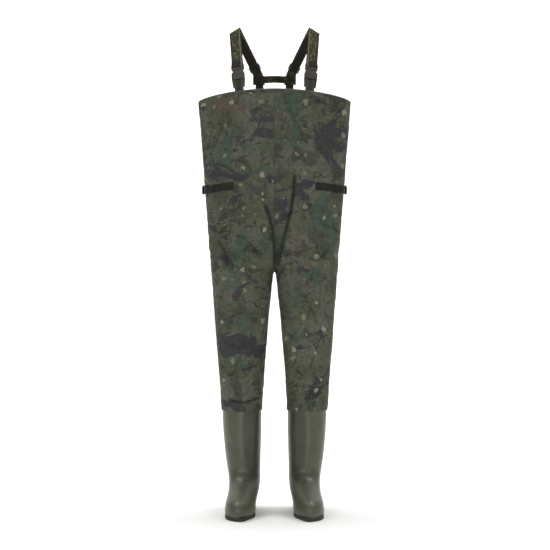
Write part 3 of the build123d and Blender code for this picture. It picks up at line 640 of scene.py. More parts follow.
def wrinkle(obj):
    """Hang, gather and crumple the cloth, and store painted shade for its creases, the crotch recess and
    the crotch gap in the fold attribute.
    """
    co = coords_of(obj)
    n = normals_of(obj)
    x, y, z = co.T
    moved = np.zeros_like(co)
    painted_crease_shade = np.zeros(len(co))
    # painted shade: each crease's valley also darkens the cloth's colour
    for creases, face in ((FRONT_CREASES, -1), (BACK_CREASES, 1)):
        for line, width, depth in creases:
            push, valley = crease(co, n, line, face, width, depth)
            moved += push
            painted_crease_shade = np.maximum(painted_crease_shade, valley * min(1.0, depth / 0.0065))
    # the cloth sinks between the two long creases above the crotch, and painted shade darkens that
    # recess, most at its foot
    left = np.interp(z, [0.80, 0.86, 0.935, 0.975, 1.012], [-0.002, 0.0, -0.004, -0.016, -0.028])
    right = np.interp(z, [0.80, 0.852, 0.955, 1.008, 1.06], [0.004, 0.020, 0.044, 0.058, 0.063])
    inner = 1 / (1 + np.exp((left - x) / 0.003)) / (1 + np.exp((x - right) / 0.003))
    inner *= np.clip((1.03 - z) / 0.06, 0, 1) * np.clip((z - 0.79) / 0.02, 0, 1) * (y < 0.03)
    sink = np.interp(z, [0.80, 0.85, 0.92, 1.0], [0.016, 0.013, 0.008, 0.003])
    moved -= n * (inner * sink)[:, None]
    painted_crease_shade = np.maximum(painted_crease_shade, inner * np.interp(z, [0.80, 0.85, 0.90, 0.99], [1.0, 0.75, 0.40, 0.12]))
    # painted shadow: a dark spot at the top of the crotch gap
    painted_crotch_shadow = np.exp(-(((x - 0.005) / 0.012) ** 2) - ((z - 0.840) / 0.024) ** 2) * (y < 0.03)
    painted_crease_shade = np.maximum(painted_crease_shade, 1.15 * painted_crotch_shadow)
    hang = noise_at(co * np.array([1.0, 1.0, 0.28]), 13.0, 1.0)
    broad = noise_at(co, 9.0, 2.0)
    crumple = np.abs(noise_at(co * np.array([1.0, 1.0, 1.5]), 24.0, 3.0))
    small = noise_at(co * np.array([1.0, 1.0, 0.8]), 55.0, 4.0)
    legs = np.clip((0.93 - z) / 0.15, 0, 1)
    seat = np.exp(-(((z - 0.86) / 0.09) ** 2))
    cuffs = np.exp(-(((z - 0.37) / 0.05) ** 2))
    amount = (
        hang * (0.0016 + 0.0010 * legs)
        + broad * 0.0020
        - crumple * (0.0012 + 0.0026 * seat + 0.0024 * cuffs)
        + small * (0.0004 + 0.0006 * legs)
    )
    inside = np.clip((0.020 - np.abs(x)) / 0.02, 0, 1) * np.clip((0.80 - z) / 0.02, 0, 1)
    moved += n * (amount * (1 - inside))[:, None]
    moved *= still_zones(co)[:, None]
    set_coords(obj, co + moved)
    set_layer(obj, "fold", np.minimum(painted_crease_shade, 1.1))


def seam_ridge(obj):
    """Raise the felled seams and remember where the raised cloth is."""
    co = coords_of(obj)
    n = normals_of(obj)
    x, y, z = co.T
    seam = np.abs(y - centre_y(z))
    body = z > 0.835
    centre = np.where(body, np.abs(x), 1.0)
    from_seam = np.minimum(centre, seam)
    flat = 1 / (1 + np.exp((from_seam - 0.0052) / 0.0007))
    groove = np.exp(-((from_seam / 0.0011) ** 2))
    keep = np.clip((np.abs(z - BELT_Z) - 0.014) / 0.01, 0, 1)
    keep = np.maximum(keep, np.clip((0.1 - np.abs(x)) / 0.02, 0, 1))
    set_coords(obj, co + n * ((flat * 0.0007 - groove * 0.0009) * keep)[:, None])
    set_layer(obj, "ridge", np.exp(-(((from_seam - 0.0050) / 0.0016) ** 2)))


def cut(obj, point, direction, keep_below=True):
    """Cut the mesh by a plane and drop the far side, leaving it open."""
    bm = bmesh.new()
    bm.from_mesh(obj.data)
    geometry = bm.verts[:] + bm.edges[:] + bm.faces[:]
    bmesh.ops.bisect_plane(
        bm,
        geom=geometry,
        dist=1e-6,
        plane_co=point,
        plane_no=direction,
        clear_outer=keep_below,
        clear_inner=not keep_below,
    )
    bm.to_mesh(obj.data)
    bm.free()
    obj.data.update()


def build_shell():
    """The whole cloth shell as one open skin, before it is cut into panels."""
    verts, faces = oval_solid(BODY_OVALS, 0, 0.8055, 1.425, 60)
    whole_v, whole_f = list(verts), list(faces)
    for side in SIDES.values():
        verts, faces = oval_solid(LEG_OVALS, side, 0.317, 0.945, 60, 96)
        shift = len(whole_v)
        whole_v += verts
        whole_f += [tuple(i + shift for i in f) for f in faces]
    shell = add_mesh("shell", whole_v, whole_f)
    remesh = shell.modifiers.new("voxels", "REMESH")
    remesh.mode = "VOXEL"
    remesh.voxel_size = 0.0045
    remesh.use_smooth_shade = True
    soften = shell.modifiers.new("soften", "SMOOTH")
    soften.factor = 0.5
    soften.iterations = 6
    apply_modifiers(shell)
    # smoothing draws the skin in a little, so it is let out again
    set_coords(shell, coords_of(shell) + normals_of(shell) * LET_OUT)
    wrinkle(shell)
    seam_ridge(shell)
    co = coords_of(shell)
    lift = edge_z(co[:, 0], co[:, 1]) - BIB_Z
    co[:, 2] -= lift
    set_coords(shell, co)
    cut(shell, (0, 0, BIB_Z), (0, 0, 1))
    co = coords_of(shell)
    co[:, 2] += edge_z(co[:, 0], co[:, 1]) - BIB_Z
    set_coords(shell, co)
    cut(shell, (0, 0, HEM_LEG_Z), (0, 0, -1))
    return shell


def make_panels(shell):
    """Cut the skin on its seams and give each panel its thickness, lining and print."""
    for side_name, side in SIDES.items():
        for face, way in (("front", 1), ("back", -1)):
            mesh = shell.data.copy()
            name = f"{side_name}_{face}_cloth"
            panel = bpy.data.objects.new(name, mesh)
            bpy.context.scene.collection.objects.link(panel)
            cut(panel, (0, 0, 0), (side, 0, 0), keep_below=False)
            cut(panel, (0, BIB_Y, BIB_Z), (0, -way, -way * LEAN), keep_below=False)
            panel.data.materials.append(CAMO[f"{side_name}_{face}"])
            panel.data.materials.append(LINING)
            thick = panel.modifiers.new("thickness", "SOLIDIFY")
            thick.thickness = CLOTH
            thick.offset = -1.0
            thick.material_offset = 1
            thick.material_offset_rim = 0
            apply_modifiers(panel)
            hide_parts(f"{side_name}_{face}_panel")
            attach(panel, "garment")


shell = build_shell()
shell_tree = BVHTree.FromObject(shell, bpy.context.evaluated_depsgraph_get())
make_panels(shell)
bpy.data.objects.remove(shell)


# ---------------------------------------------------------------- strips of webbing and tape
def strip(name, lines, material, node, body="garment"):
    shares = [-1.0, -0.97, -0.86, -0.5, 0.0, 0.5, 0.86, 0.97, 1.0]
    rise = [0.25, 0.44, 0.5, 0.5, 0.5, 0.5, 0.5, 0.44, 0.25]
    count = len(lines)
    verts, across, along = [], [], []
    travelled = 0.0
    for i, (centre, half) in enumerate(lines):
        after = lines[min(i + 1, count - 1)][0]
        before = lines[max(i - 1, 0)][0]
        if i:
            travelled += (centre - lines[i - 1][0]).length
        normal = half.cross(after - before).normalized()
        ring = list(zip(shares, rise)) + [(s, -r) for s, r in reversed(list(zip(shares, rise)))]
        for s, r in ring:
            verts.append(centre + half * s + normal * (r * WEB))
            across.append(s)
            along.append(travelled)
    size = 2 * len(shares)
    faces = grid_faces(count, size)
    faces.append(tuple(reversed(range(size))))
    faces.append(tuple((count - 1) * size + c for c in range(size)))
    obj = add_mesh(name, verts, faces, [material])
    set_layer(obj, "across", across)
    set_layer(obj, "along", along)
    face_outward(obj)
    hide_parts(node)
    if body:
        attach(obj, body)
    return obj


def mark_reverse(obj, chosen):
    """Give the reverse attribute to the points that chosen(co) says show the other side."""
    set_layer(obj, "reverse", chosen(coords_of(obj)))


def densify(lines, step):
    """Add lines between the given ones so that none are further apart than step."""
    out = []
    for (c0, h0), (c1, h1) in zip(lines[:-1], lines[1:]):
        pieces = max(1, int((c1 - c0).length / step))
        for k in range(pieces):
            t = k / pieces
            out.append((c0.lerp(c1, t), h0.lerp(h1, t)))
    out.append(lines[-1])
    return out


def stitch_row(name, points, material=None, pitch=0.0034, radius=0.00035):
    """A row of raised stitches along a line of (point, normal) pairs."""
    verts, faces = [], []
    rest = pitch / 2
    for (a, na), (b, nb) in zip(points[:-1], points[1:]):
        span = (b - a).length
        if span < 1e-6:
            continue
        direction = (b - a) / span
        while rest < span:
            t = rest / span
            centre = a.lerp(b, t)
            out = na.lerp(nb, t).normalized()
            sideways = direction.cross(out).normalized()
            base = len(verts)
            for s, h in ((-0.5, 0.0), (-0.25, 0.9), (0.25, 0.9), (0.5, 0.0)):
                for k in range(4):
                    angle = k * pi / 2 + pi / 4
                    offset = sideways * cos(angle) * radius + out * (sin(angle) * radius + h * radius)
                    verts.append(centre + direction * (s * pitch * 0.72) + offset)
            for ring in range(3):
                for k in range(4):
                    p, q = base + ring * 4 + k, base + ring * 4 + (k + 1) % 4
                    faces.append((p, q, q + 4, p + 4))
            faces.append(tuple(base + k for k in (3, 2, 1, 0)))
            faces.append(tuple(base + 12 + k for k in range(4)))
            rest += pitch
        rest -= span
    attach(add_mesh(name, verts, faces, [material or STITCH]), "garment")


# ---------------------------------------------------------------- shoulder strap frames
class Place:
    """A point with X, Y and Z directions, on the left side of the garment."""

    def __init__(self, origin, x, y, z):
        self.origin, self.x, self.y, self.z = Vector(origin), Vector(x), Vector(y), Vector(z)

    def at(self, x, y, z=0.0):
        return self.origin + self.x * x + self.y * y + self.z * z


def place_of(foot, head, outward):
    """A place whose Y runs from foot to head and whose Z faces outward."""
    up = (Vector(head) - Vector(foot)).normalized()
    across = up.cross(outward).normalized()
    return Place(foot, across, up, across.cross(up))


WEB = 0.0018
BAR_R = 0.0020           # radius of the bars that webbing turns round
GAP = 0.0004             # clearance between webbing and what it lies on
FRONT_WEB = 0.038
REAR_WEB = 0.032
TAB_WEB = 0.030
POST_WEB = 0.027
WAIST_WEB = 0.025
BIB_POINT = Vector((-0.1155, -0.0388, 1.395))
SHOULDER_POINT = Vector((-0.131, 0.006, 1.594))
FOLD_TILT = radians(25.6)
FOLD_REACH = 0.0049
REAR_LAP = 0.040
YOKE_X, YOKE_Y, YOKE_Z = 0.053, 0.103, 1.447
PATCH = (0.040, 0.005, 0.030)
PATCH_SWELL = 0.0013
POST_X = 0.051
MOUTH_Z = 1.453
DARK_END_Z = 1.4945      # the front strap's folded end is dark below this height
OLIVE_Z = 1.476          # the rear strap is olive below this height
BACK_Y = 0.1346          # the back straps lie this far back inside the bib

turn_out = radians(11)
bib_place = place_of(BIB_POINT, SHOULDER_POINT, Vector((-sin(turn_out), -cos(turn_out), 0)))
strap_place = Place(
    bib_place.at(0, (MOUTH_Z - BIB_Z) / bib_place.y.z), bib_place.x, bib_place.y, bib_place.z
)
strap_length = (SHOULDER_POINT - strap_place.origin).length
fold_dir = (strap_place.x * cos(FOLD_TILT) + strap_place.y * sin(FOLD_TILT)).normalized()
fold_length = FRONT_WEB / cos(FOLD_TILT)
fold_axis = strap_place.at(0, strap_length, -FOLD_REACH)
yoke_top = Vector((-YOKE_X, YOKE_Y, YOKE_Z + PATCH[2] / 2 - 0.002))
rear_normal = Vector((0, -1, 0))
for _ in range(6):
    rear_start = fold_axis - rear_normal * FOLD_REACH + fold_dir * (fold_length - REAR_WEB) / 2
    rear_down = (yoke_top - rear_start).normalized()
    rear_normal = fold_dir.cross(rear_down).normalized()
    rear_normal = rear_normal * (-1 if rear_normal.y > 0 else 1)
rear_place = Place(rear_start, (-rear_down).cross(rear_normal), -rear_down, rear_normal)
rear_run = (yoke_top - rear_start).length


def mirrored(lines, side):
    """Strip lines made for the left, or their mirror image."""
    flip = Vector((-side, 1, 1))
    return [(c * flip, h * flip) for c, h in lines]


def arc_lines(centre, start, axis_dir, total, half, steps=10):
    """Strip lines round an axis, from centre+start through an angle."""
    out = []
    for i in range(steps + 1):
        turn = Matrix.Rotation(total * i / steps, 3, axis_dir)
        out.append((centre + turn @ start, half.copy()))
    return out


def side_profile(place, points, width):
    """Strip lines along (up, out) points of a place's side section."""
    return [(place.at(0, u, o), place.x * (width / 2)) for u, o in points]


def arc_points(centre, radius, start, end, steps=10):
    """(up, out) points on an arc; angles in degrees from the out direction towards up."""
    out = []
    for i in range(steps + 1):
        a = radians(start + (end - start) * i / steps)
        out.append((centre[0] + radius * sin(a), centre[1] + radius * cos(a)))
    return out


def box_stitch(name, place, x0, y0, x1, y1, lift, side):
    """A stitched rectangle with a cross inside, on the face of a place."""
    corners = [(x0, y0), (x1, y0), (x1, y1), (x0, y1), (x0, y0), (x1, y1), (x1, y0), (x0, y1)]
    points = [(place.at(x, y, lift), place.z.copy()) for x, y in corners]
    stitch_row(name, mirrored(points, side), STITCH_DARK, 0.0026, 0.0003)


def build_shoulder_straps(word, side):
    """The front strap, from the clip over the fold, and the rear strap down to the yoke."""
    # wide elastic strap: round the clip's bar, up the front, over the fold and down behind
    loop_r = BAR_R + GAP + WEB / 2
    ladder = (0.0213, 0.0)
    back_layer = -WEB - 0.0001
    half = strap_place.x * (FRONT_WEB / 2)
    profile = [(0.082, back_layer), (0.060, back_layer), (0.046, back_layer), (0.038, -loop_r * 0.95)]
    profile += arc_points(ladder, loop_r, 180, 360, 12)
    profile += [(0.031, loop_r * 0.9), (0.037, loop_r * 0.5), (0.042, 0.0004), (0.048, 0.0)]
    lines = side_profile(strap_place, profile, FRONT_WEB)
    top = strap_length - (FRONT_WEB / 2) * sin(FOLD_TILT) / cos(FOLD_TILT)
    run = []
    count = 30
    for i in range(count + 1):
        t = 0.052 + (top - 0.004 - 0.052) * i / count
        bow = 0.0012 * sin(pi * i / count)
        run.append((strap_place.at(0, t, bow), half.copy()))
    lines += run
    # turn the width towards the fold line over the last stretch
    fold_half = fold_dir * (fold_length / 2)
    start = strap_place.at(0, strap_length)
    for i in range(1, 6):
        t = i / 5
        lines.append((run[-1][0].lerp(start, t), half.lerp(fold_half, t)))
    fold_start = strap_place.z * FOLD_REACH
    total = strap_place.z.angle(-rear_normal)
    # the fold turns whichever way takes its outer face to the rear strap's
    ahead, behind_it = (
        (Matrix.Rotation(way * total, 3, fold_dir) @ strap_place.z + rear_normal).length
        for way in (1, -1)
    )
    spin = fold_dir if ahead < behind_it else -fold_dir
    lines += arc_lines(fold_axis, fold_start, spin, total, fold_half, 12)[1:]
    behind = fold_axis - rear_normal * FOLD_REACH
    lap_half = rear_place.x * (REAR_WEB / 2)
    lap_end = rear_place.at(0, -REAR_LAP)
    lap_start = rear_place.at(0, -0.010)
    for i in range(1, 5):
        t = i / 4
        lines.append((behind.lerp(lap_start, t), fold_half.lerp(lap_half, t)))
    for i in range(1, 8):
        lines.append((lap_start.lerp(lap_end, i / 7), lap_half.copy()))
    strap = strip(
        f"{word}_front_webbing", mirrored(lines, side), FRONT_WEBBING, f"{word}_front_strap",
        body=None,
    )
    behind_fold = np.array(fold_axis)
    mark_reverse(
        strap,
        lambda co: np.maximum(
            (co * np.array([-side, 1, 1]) - behind_fold) @ np.array(strap_place.z) < -0.0005,
            np.clip((DARK_END_Z - co[:, 2]) / 0.0015, 0, 1),
        ),
    )
    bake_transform(strap)
    # rear strap
    rear_lines = []
    for i in range(31):
        t = -0.010 - (rear_run - 0.012) * i / 30
        sag = -0.0002 * sin(pi * i / 30)
        rear_lines.append((rear_place.at(0, t, -WEB + sag), rear_place.x * (REAR_WEB / 2)))
    rear_lines.append(
        (Vector((-YOKE_X, YOKE_Y - 0.0006, YOKE_Z + PATCH[2] / 2 - 0.004)), Vector((REAR_WEB / 2, 0, 0)))
    )
    rear = strip(
        f"{word}_rear_webbing", mirrored(rear_lines, side), REAR_WEBBING, f"{word}_rear_strap",
    )
    mark_reverse(rear, lambda co: np.clip((co[:, 2] - OLIVE_Z) / 0.002, 0, 1))
    box_stitch(
        f"{word}_lap_stitch", rear_place, -0.0105, -0.036, 0.0105, -0.017, WEB / 2, side
    )


def build_tab_and_yoke(word, side):
    """The bib tab round the socket's bar, the yoke patch and the back strap below it."""
    bar = (-0.029, 0.0)
    tab_r = 0.0022 + GAP + WEB / 2
    layer_out = WEB / 2 + 0.00005
    sewn = 0.050
    sewn_t = -0.058 - sewn * strap_place.y.z
    sewn_in = -sewn * strap_place.z.z
    tab = [(sewn_t, layer_out + sewn_in), (-0.058, layer_out), (-0.046, layer_out), (-0.036, tab_r * 0.9)]
    tab += arc_points(bar, tab_r, 0, 180, 12)
    tab += [(-0.036, -tab_r * 0.9), (-0.046, -layer_out), (-0.058, -layer_out)]
    tab += [(sewn_t, -layer_out + sewn_in)]
    tab_lines = densify(side_profile(strap_place, tab, TAB_WEB), 0.004)
    strip(
        f"{word}_tab_webbing", mirrored(tab_lines, side), TAB_WEBBING, f"{word}_bib_tab"
    )
    # yoke patch: two layers of webbing box-stitched together
    patch = padded_box(f"{word}_yoke_webbing", Vector((side * YOKE_X, YOKE_Y, YOKE_Z)))
    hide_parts(f"{word}_yoke_patch")
    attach(patch, "garment")
    front = Place((-YOKE_X, YOKE_Y - PATCH[1] / 2 - 0.0001, YOKE_Z), (1, 0, 0), (0, 0, 1), (0, -1, 0))
    back = Place((-YOKE_X, YOKE_Y + PATCH[1] / 2 + 0.0001, YOKE_Z), (-1, 0, 0), (0, 0, 1), (0, 1, 0))
    for key, face in (("front", front), ("back", back)):
        box_stitch(
            f"{word}_yoke_stitch_{key}", face, -0.0165, -0.0115, 0.0165, 0.0115, 0.0, side
        )
    # back strap down into the garment
    post = [
        (YOKE_Y, YOKE_Z - PATCH[2] / 2 + 0.003),
        (YOKE_Y + 0.0006, YOKE_Z - PATCH[2] / 2 - 0.004),
        (YOKE_Y + 0.006, 1.414),
        (0.122, 1.392),
        (0.1315, 1.378),
        (0.1342, 1.366),
        (BACK_Y, 1.350),
        (BACK_Y, 1.300),
    ]
    post_lines = [(Vector((-POST_X, y, z)), Vector((POST_WEB / 2, 0, 0))) for y, z in post]
    post_strip = strip(
        f"{word}_back_webbing", mirrored(densify(post_lines, 0.003), side), REAR_WEBBING,
        f"{word}_back_strap",
    )
    mark_reverse(post_strip, lambda co: np.full(len(co), 0.8))
    inner = Place((-POST_X, BACK_Y - WEB / 2, 1.325), (1, 0, 0), (0, 0, 1), (0, -1, 0))
    box_stitch(
        f"{word}_back_stitch", inner, -0.011, -0.022, 0.011, 0.020, 0.0001, side
    )


def padded_box(name, centre):
    """The yoke patch's stitched layers: a box with rounded rim and slightly swollen faces."""
    columns, rows = 21, 17
    verts = []
    for way in (-1, 1):
        for j in range(rows):
            for i in range(columns):
                u, v = 2 * i / (columns - 1) - 1, 2 * j / (rows - 1) - 1
                rim = (1 - abs(u) ** 6) * (1 - abs(v) ** 6)
                pull = 0.5 - 0.5 * min(1.0, abs(max(abs(u), abs(v)) - 0.8) / 0.12)
                depth = PATCH[1] / 2 * (0.55 + 0.45 * rim) - 0.0005 * pull + PATCH_SWELL * 0.2 * rim
                verts.append(centre + Vector((u * PATCH[0] / 2, way * depth, v * PATCH[2] / 2)))
    obj = add_mesh(name, verts, slab_faces(rows, columns), [YOKE_WEBBING])
    co = coords_of(obj)
    set_layer(obj, "across", (co[:, 2] - centre.z) / (PATCH[2] / 2))
    set_layer(obj, "along", co[:, 0] - centre.x)
    return obj


def build_crossbar():
    """The yoke's crossbar, a strip bowed up a little between its patches."""
    half_length = YOKE_X - PATCH[0] / 2 + 0.001
    lines = []
    for i in range(41):
        x = -half_length + 2 * half_length * i / 40
        rise = 0.0020 * (1 - (x / half_length) ** 2)
        centre = Vector((x, YOKE_Y, YOKE_Z + 0.002 + rise))
        lines.append((centre, Vector((0, 0, 0.012))))
    strip("yoke_bar_webbing", lines, YOKE_WEBBING, "yoke_crossbar")


# ---------------------------------------------------------------- pieces that lie on the cloth
def on_cloth(origin, direction, lift):
    """Point where a ray meets the shell, lifted off it along the shell's outward normal."""
    hit, normal, _, _ = shell_tree.ray_cast(Vector(origin), Vector(direction).normalized())
    if hit is None:
        return None, None
    return hit + normal * lift, normal


def cloth_patch(name, rays, lift, thickness, material, node):
    """A strip laid on the shell: rays is rows of (origin, direction), one row across each time."""
    rows, columns = len(rays), len(rays[0])
    total = rows * columns
    verts = []
    for layer in (lift + thickness / 2, lift - thickness / 2):
        for row in rays:
            verts += [on_cloth(origin, direction, layer)[0] for origin, direction in row]
    obj = add_mesh(name, verts, slab_faces(rows, columns), [material])
    across = [2 * (i % columns) / (columns - 1) - 1 for i in range(2 * total)]
    along = []
    for layer in (0, 1):
        run = 0.0
        for r in range(rows):
            if r:
                a = verts[layer * total + r * columns + columns // 2]
                b = verts[layer * total + (r - 1) * columns + columns // 2]
                run += (a - b).length
            along += [run] * columns
    set_layer(obj, "across", across)
    set_layer(obj, "along", along)
    face_outward(obj)
    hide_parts(node)
    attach(obj, "garment")


TAPE_THICKNESS = 0.0006


def build_tapes():
    """Seam tapes welded to the inside of the cloth."""
    half = 0.0098
    heights = np.linspace(0.885, 1.332, 90)
    shares = np.linspace(-1, 1, 7)
    lift = -(CLOTH + 0.0005)
    for name, way in (("front_seam_tape", -1), ("back_seam_tape", 1)):
        rays = [[((s * half, centre_y(z), z), (0, way, 0)) for s in shares] for z in heights]
        cloth_patch(f"{name}_strip", rays, lift, TAPE_THICKNESS, TAPE, name)
    for word, side in SIDES.items():
        rays = [
            [((0, centre_y(z) + s * half, z), (side, 0, 0)) for s in shares] for z in heights
        ]
        cloth_patch(
            f"{word}_side_tape_strip", rays, lift, TAPE_THICKNESS, TAPE, f"{word}_side_seam_tape",
        )


WAIST_Z = 1.079
WAIST_DROP = 0.075
STRAP_START_X = 0.135
LOCK_Z = 1.0715
LOCK_BACK = 0.017
LOCK_HALF_W = 0.233
LOCK_HALF_D = 0.097
LOCK_STAND = 0.0032
WAIST_LOOP_R = BAR_R + GAP + WEB / 2
lock_x = -LOCK_HALF_W * sqrt(1 - (LOCK_BACK / LOCK_HALF_D) ** 2)
lock_out = Vector((lock_x / LOCK_HALF_W**2, -LOCK_BACK / LOCK_HALF_D**2, 0)).normalized()
lock_place = Place(
    Vector((lock_x, centre_y(LOCK_Z) - LOCK_BACK, LOCK_Z)) + lock_out * LOCK_STAND,
    (-lock_out.y, lock_out.x, 0),
    (0, 0, 1),
    lock_out,
)


def body_plan(back, lift, z=LOCK_Z):
    """Point off the body's oval, a distance behind the side seam, on the left."""
    x = -LOCK_HALF_W * sqrt(1 - (back / LOCK_HALF_D) ** 2)
    out = Vector((x / LOCK_HALF_W**2, back / LOCK_HALF_D**2, 0)).normalized()
    return Vector((x, centre_y(LOCK_Z) + back, z)) + out * lift


def round_bar(bar_x, start, end):
    """Points round one of the lock's bars; angles in degrees from outward towards the front."""
    angles = [radians(start + (end - start) * i / 10) for i in range(11)]
    return [
        lock_place.at(bar_x + WAIST_LOOP_R * sin(a), 0, WAIST_LOOP_R * cos(a)) for a in angles
    ]


def build_waist(word, side):
    """The waist strap sewn to the front, its tail through the lock, and the anchor behind it."""
    half_up = Vector((0, 0, WAIST_WEB / 2))
    # front run, sewn down on the front panel
    rays = []
    columns = np.linspace(-1, 1, 9)
    for t in np.linspace(0, 1, 60):
        x = -STRAP_START_X - t * 0.0685
        middle = WAIST_Z - WAIST_DROP * (abs(x) - STRAP_START_X)
        row = []
        for s in columns:
            z = middle + s * WAIST_WEB / 2
            row.append(((-side * x, -0.4, z), (0, 1, 0)))
        rays.append(row)
    lift = GAP + WEB / 2
    cloth_patch(
        f"{word}_waist_webbing", rays, lift, WEB, WAIST_WEBBING, f"{word}_waist_strap"
    )
    stitches = []
    for dx, dz in ((0.004, -0.009), (0.022, -0.009), (0.022, 0.009), (0.004, 0.009), (0.004, -0.009)):
        x = STRAP_START_X + dx
        z = WAIST_Z - WAIST_DROP * dx + dz
        p, n = on_cloth((side * x, -0.4, z), (0, 1, 0), GAP + WEB)
        stitches.append((p, n))
    stitch_row(f"{word}_waist_stitch", stitches, STITCH_DARK, 0.0026, 0.0003)
    # loop through the lock's front bar and back over itself
    points = [body_plan(b, GAP + WEB / 2) for b in (-0.046, -0.042, -0.038)]
    points.append(lock_place.at(0.018, 0, -WAIST_LOOP_R - 0.0008))
    points += round_bar(0.015, 180, 360)
    points.append(lock_place.at(0.020, 0, 0.0012 + 0.0008))
    points += [body_plan(b, GAP + 1.5 * WEB + 0.0010) for b in (-0.038, -0.042, -0.047, -0.052)]
    lines = densify([(p, half_up.copy()) for p in points], 0.003)
    tail = strip(
        f"{word}_waist_tail_webbing", mirrored(lines, side), WAIST_WEBBING, f"{word}_waist_tail",
        body=None,
    )
    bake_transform(tail)
    # rear strap round the lock's rear bar, sewn along the back panel
    points = [body_plan(b / 1000, 0.0016) for b in range(74, 2, -6)]
    points += round_bar(-0.0155, 180, 0)
    points.append(lock_place.at(-0.020, 0, 0.0014 + 0.0006))
    points += [body_plan(b / 1000, GAP + 1.5 * WEB + 0.0010) for b in (10, 17, 24)]
    lines = densify([(p, half_up.copy()) for p in points], 0.003)
    strip(
        f"{word}_waist_anchor_webbing", mirrored(lines, side), WAIST_WEBBING, f"{word}_waist_anchor",
    )


# ---------------------------------------------------------------- hem
def hem_ring(offset, drop, angle):
    """Point of the bib's rim: offset out of the cloth, drop below the top edge."""
    z = BIB_Z
    for _ in range(6):
        half_w, half_d = smooth_table(BODY_OVALS, np.array([z - drop]))[:, 0]
        x = (half_w + offset) * sin(angle)
        y = centre_y(z - drop) - (half_d + offset) * cos(angle)
        z = edge_z(x, y)
    return Vector((x, y, z - drop))


def build_hem():
    """Self-fabric binding folded over the edge, with a puckered lower edge."""
    columns = 360
    profile = [
        (0.0004, 0.0135), (0.0012, 0.0138), (0.0015, 0.0128), (0.0011, 0.0112), (0.0015, 0.0095),
        (0.0016, 0.0055), (0.0014, 0.0015), (0.0008, -0.0006), (-0.0008, -0.0011), (-0.0024, -0.0005),
        (-0.0030, 0.0020), (-0.0031, 0.0070), (-0.0028, 0.0110), (-0.0031, 0.0130), (-0.0026, 0.0137),
        (-0.0020, 0.0134),
    ]
    verts = []
    for i in range(columns):
        a = 2 * pi * i / columns
        for offset, drop in profile:
            pucker = 0.00025 * noise.noise(Vector((a * 40, drop * 300, 0.0)))
            verts.append(hem_ring(offset + pucker, drop, a))
    size = len(profile)
    faces = []
    for i in range(columns):
        a = i * size
        b = ((i + 1) % columns) * size
        faces += [(a + k, b + k, b + k + 1, a + k + 1) for k in range(size - 1)]
        faces.append((a + size - 1, b + size - 1, b, a))
    obj = add_mesh("bib_hem_cloth", verts, faces, [CAMO_HEM])
    set_layer(obj, "ridge", [1.0 if k in (6, 7, 8) else 0.0 for _ in range(columns) for k in range(size)])
    face_outward(obj)
    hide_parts("hem_binding")
    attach(obj, "garment")
    for key, offset, way in (("outer", 0.0013, 1), ("inner", -0.0030, -1)):
        points = []
        for i in range(361):
            a = 2 * pi * i / 360
            p = hem_ring(offset, 0.0112, a)
            q = hem_ring(offset + 0.001 * way, 0.0112, a)
            points.append((p, (q - p).normalized()))
        stitch_row(f"hem_stitch_{key}", points, STITCH, 0.0036, 0.0003)


def build_seam_stitches():
    """Twin rows of stitches beside the centre and side seams."""
    for key, way in (("front", -1), ("back", 1)):
        for step in (-0.0034, 0.0034):
            points = []
            for z in np.arange(0.845, 1.372 if way < 0 else 1.345, 0.006):
                p, n = on_cloth((step, centre_y(z) + way * 0.3, z), (0, -way, 0), 0.0001)
                if p is not None:
                    points.append((p, n))
            stitch_row(f"{key}_seam_stitch_{'a' if step < 0 else 'b'}", points)
    for word, side in SIDES.items():
        for key, step in (("a", -0.0034), ("b", 0.0034)):
            points = []
            for z in np.arange(0.345, 1.352, 0.006):
                if abs(z - LOCK_Z) < 0.020:
                    continue
                p, n = on_cloth((side * 0.4, centre_y(z) + step, z), (-side, 0, 0), 0.0001)
                if p is not None and (not points or (p - points[-1][0]).length < 0.02):
                    points.append((p, n))
                elif p is not None:
                    stitch_row(f"{word}_side_stitch_low_{key}", points)
                    points = [(p, n)]
            stitch_row(f"{word}_side_stitch_{key}", points)


# ---------------------------------------------------------------- boots
def closed_spline(points, count):
    """Smooth closed curve through points in a plane, spaced by chord length."""
    p = np.array(points, float)
    n = len(p)
    h = np.linalg.norm(np.roll(p, -1, axis=0) - p, axis=1)
    matrix = np.zeros((n, n))
    right = np.zeros((n, 2))
    for i in range(n):
        before, after = h[i - 1], h[i]
        matrix[i, (i - 1) % n] = before
        matrix[i, i] = 2 * (before + after)
        matrix[i, (i + 1) % n] = after
        right[i] = 6 * ((p[(i + 1) % n] - p[i]) / after - (p[i] - p[i - 1]) / before)
    m = np.linalg.solve(matrix, right)
    out = []
    per = count // n
    for i in range(n):
        a, b = p[i], p[(i + 1) % n]
        ma, mb = m[i], m[(i + 1) % n]
        for k in range(per):
            t = k / per
            s = 1 - t
            out.append(
                s * a + t * b + h[i] ** 2 / 6 * ((s**3 - s) * ma + (t**3 - t) * mb)
            )
    return np.array(out)


def boot_ring(z, inset):
    """World points of the left boot's outline at a height."""
    shift, middle_y, half_w, half_d = smooth_table(BOOT_OVALS, np.array([z]))[:, 0]
    share = min(1.0, max(0.0, (0.112 - z) / 0.070))
    w, d, m = half_w - inset, half_d - inset, SHAFT_Y - middle_y
    points = []
    for i, (foot_x, foot_y) in enumerate(FOOT_SHAPE):
        a = 2 * pi / len(FOOT_SHAPE) * i
        x = (1 - share) * sin(a) + share * foot_x
        y = (1 - share) * cos(a) + share * foot_y
        points.append((shift + w * x, m + d * y))
    ring = closed_spline(points, RING_POINTS)
    turn = radians(SPLAY)
    out = []
    for x, y in ring:
        # local X points outward and local Y to the toe
        across = -ANKLE_X - cos(turn) * x - sin(turn) * y
        out.append(Vector((across, SHAFT_Y + sin(turn) * x - cos(turn) * y, z)))
    return out


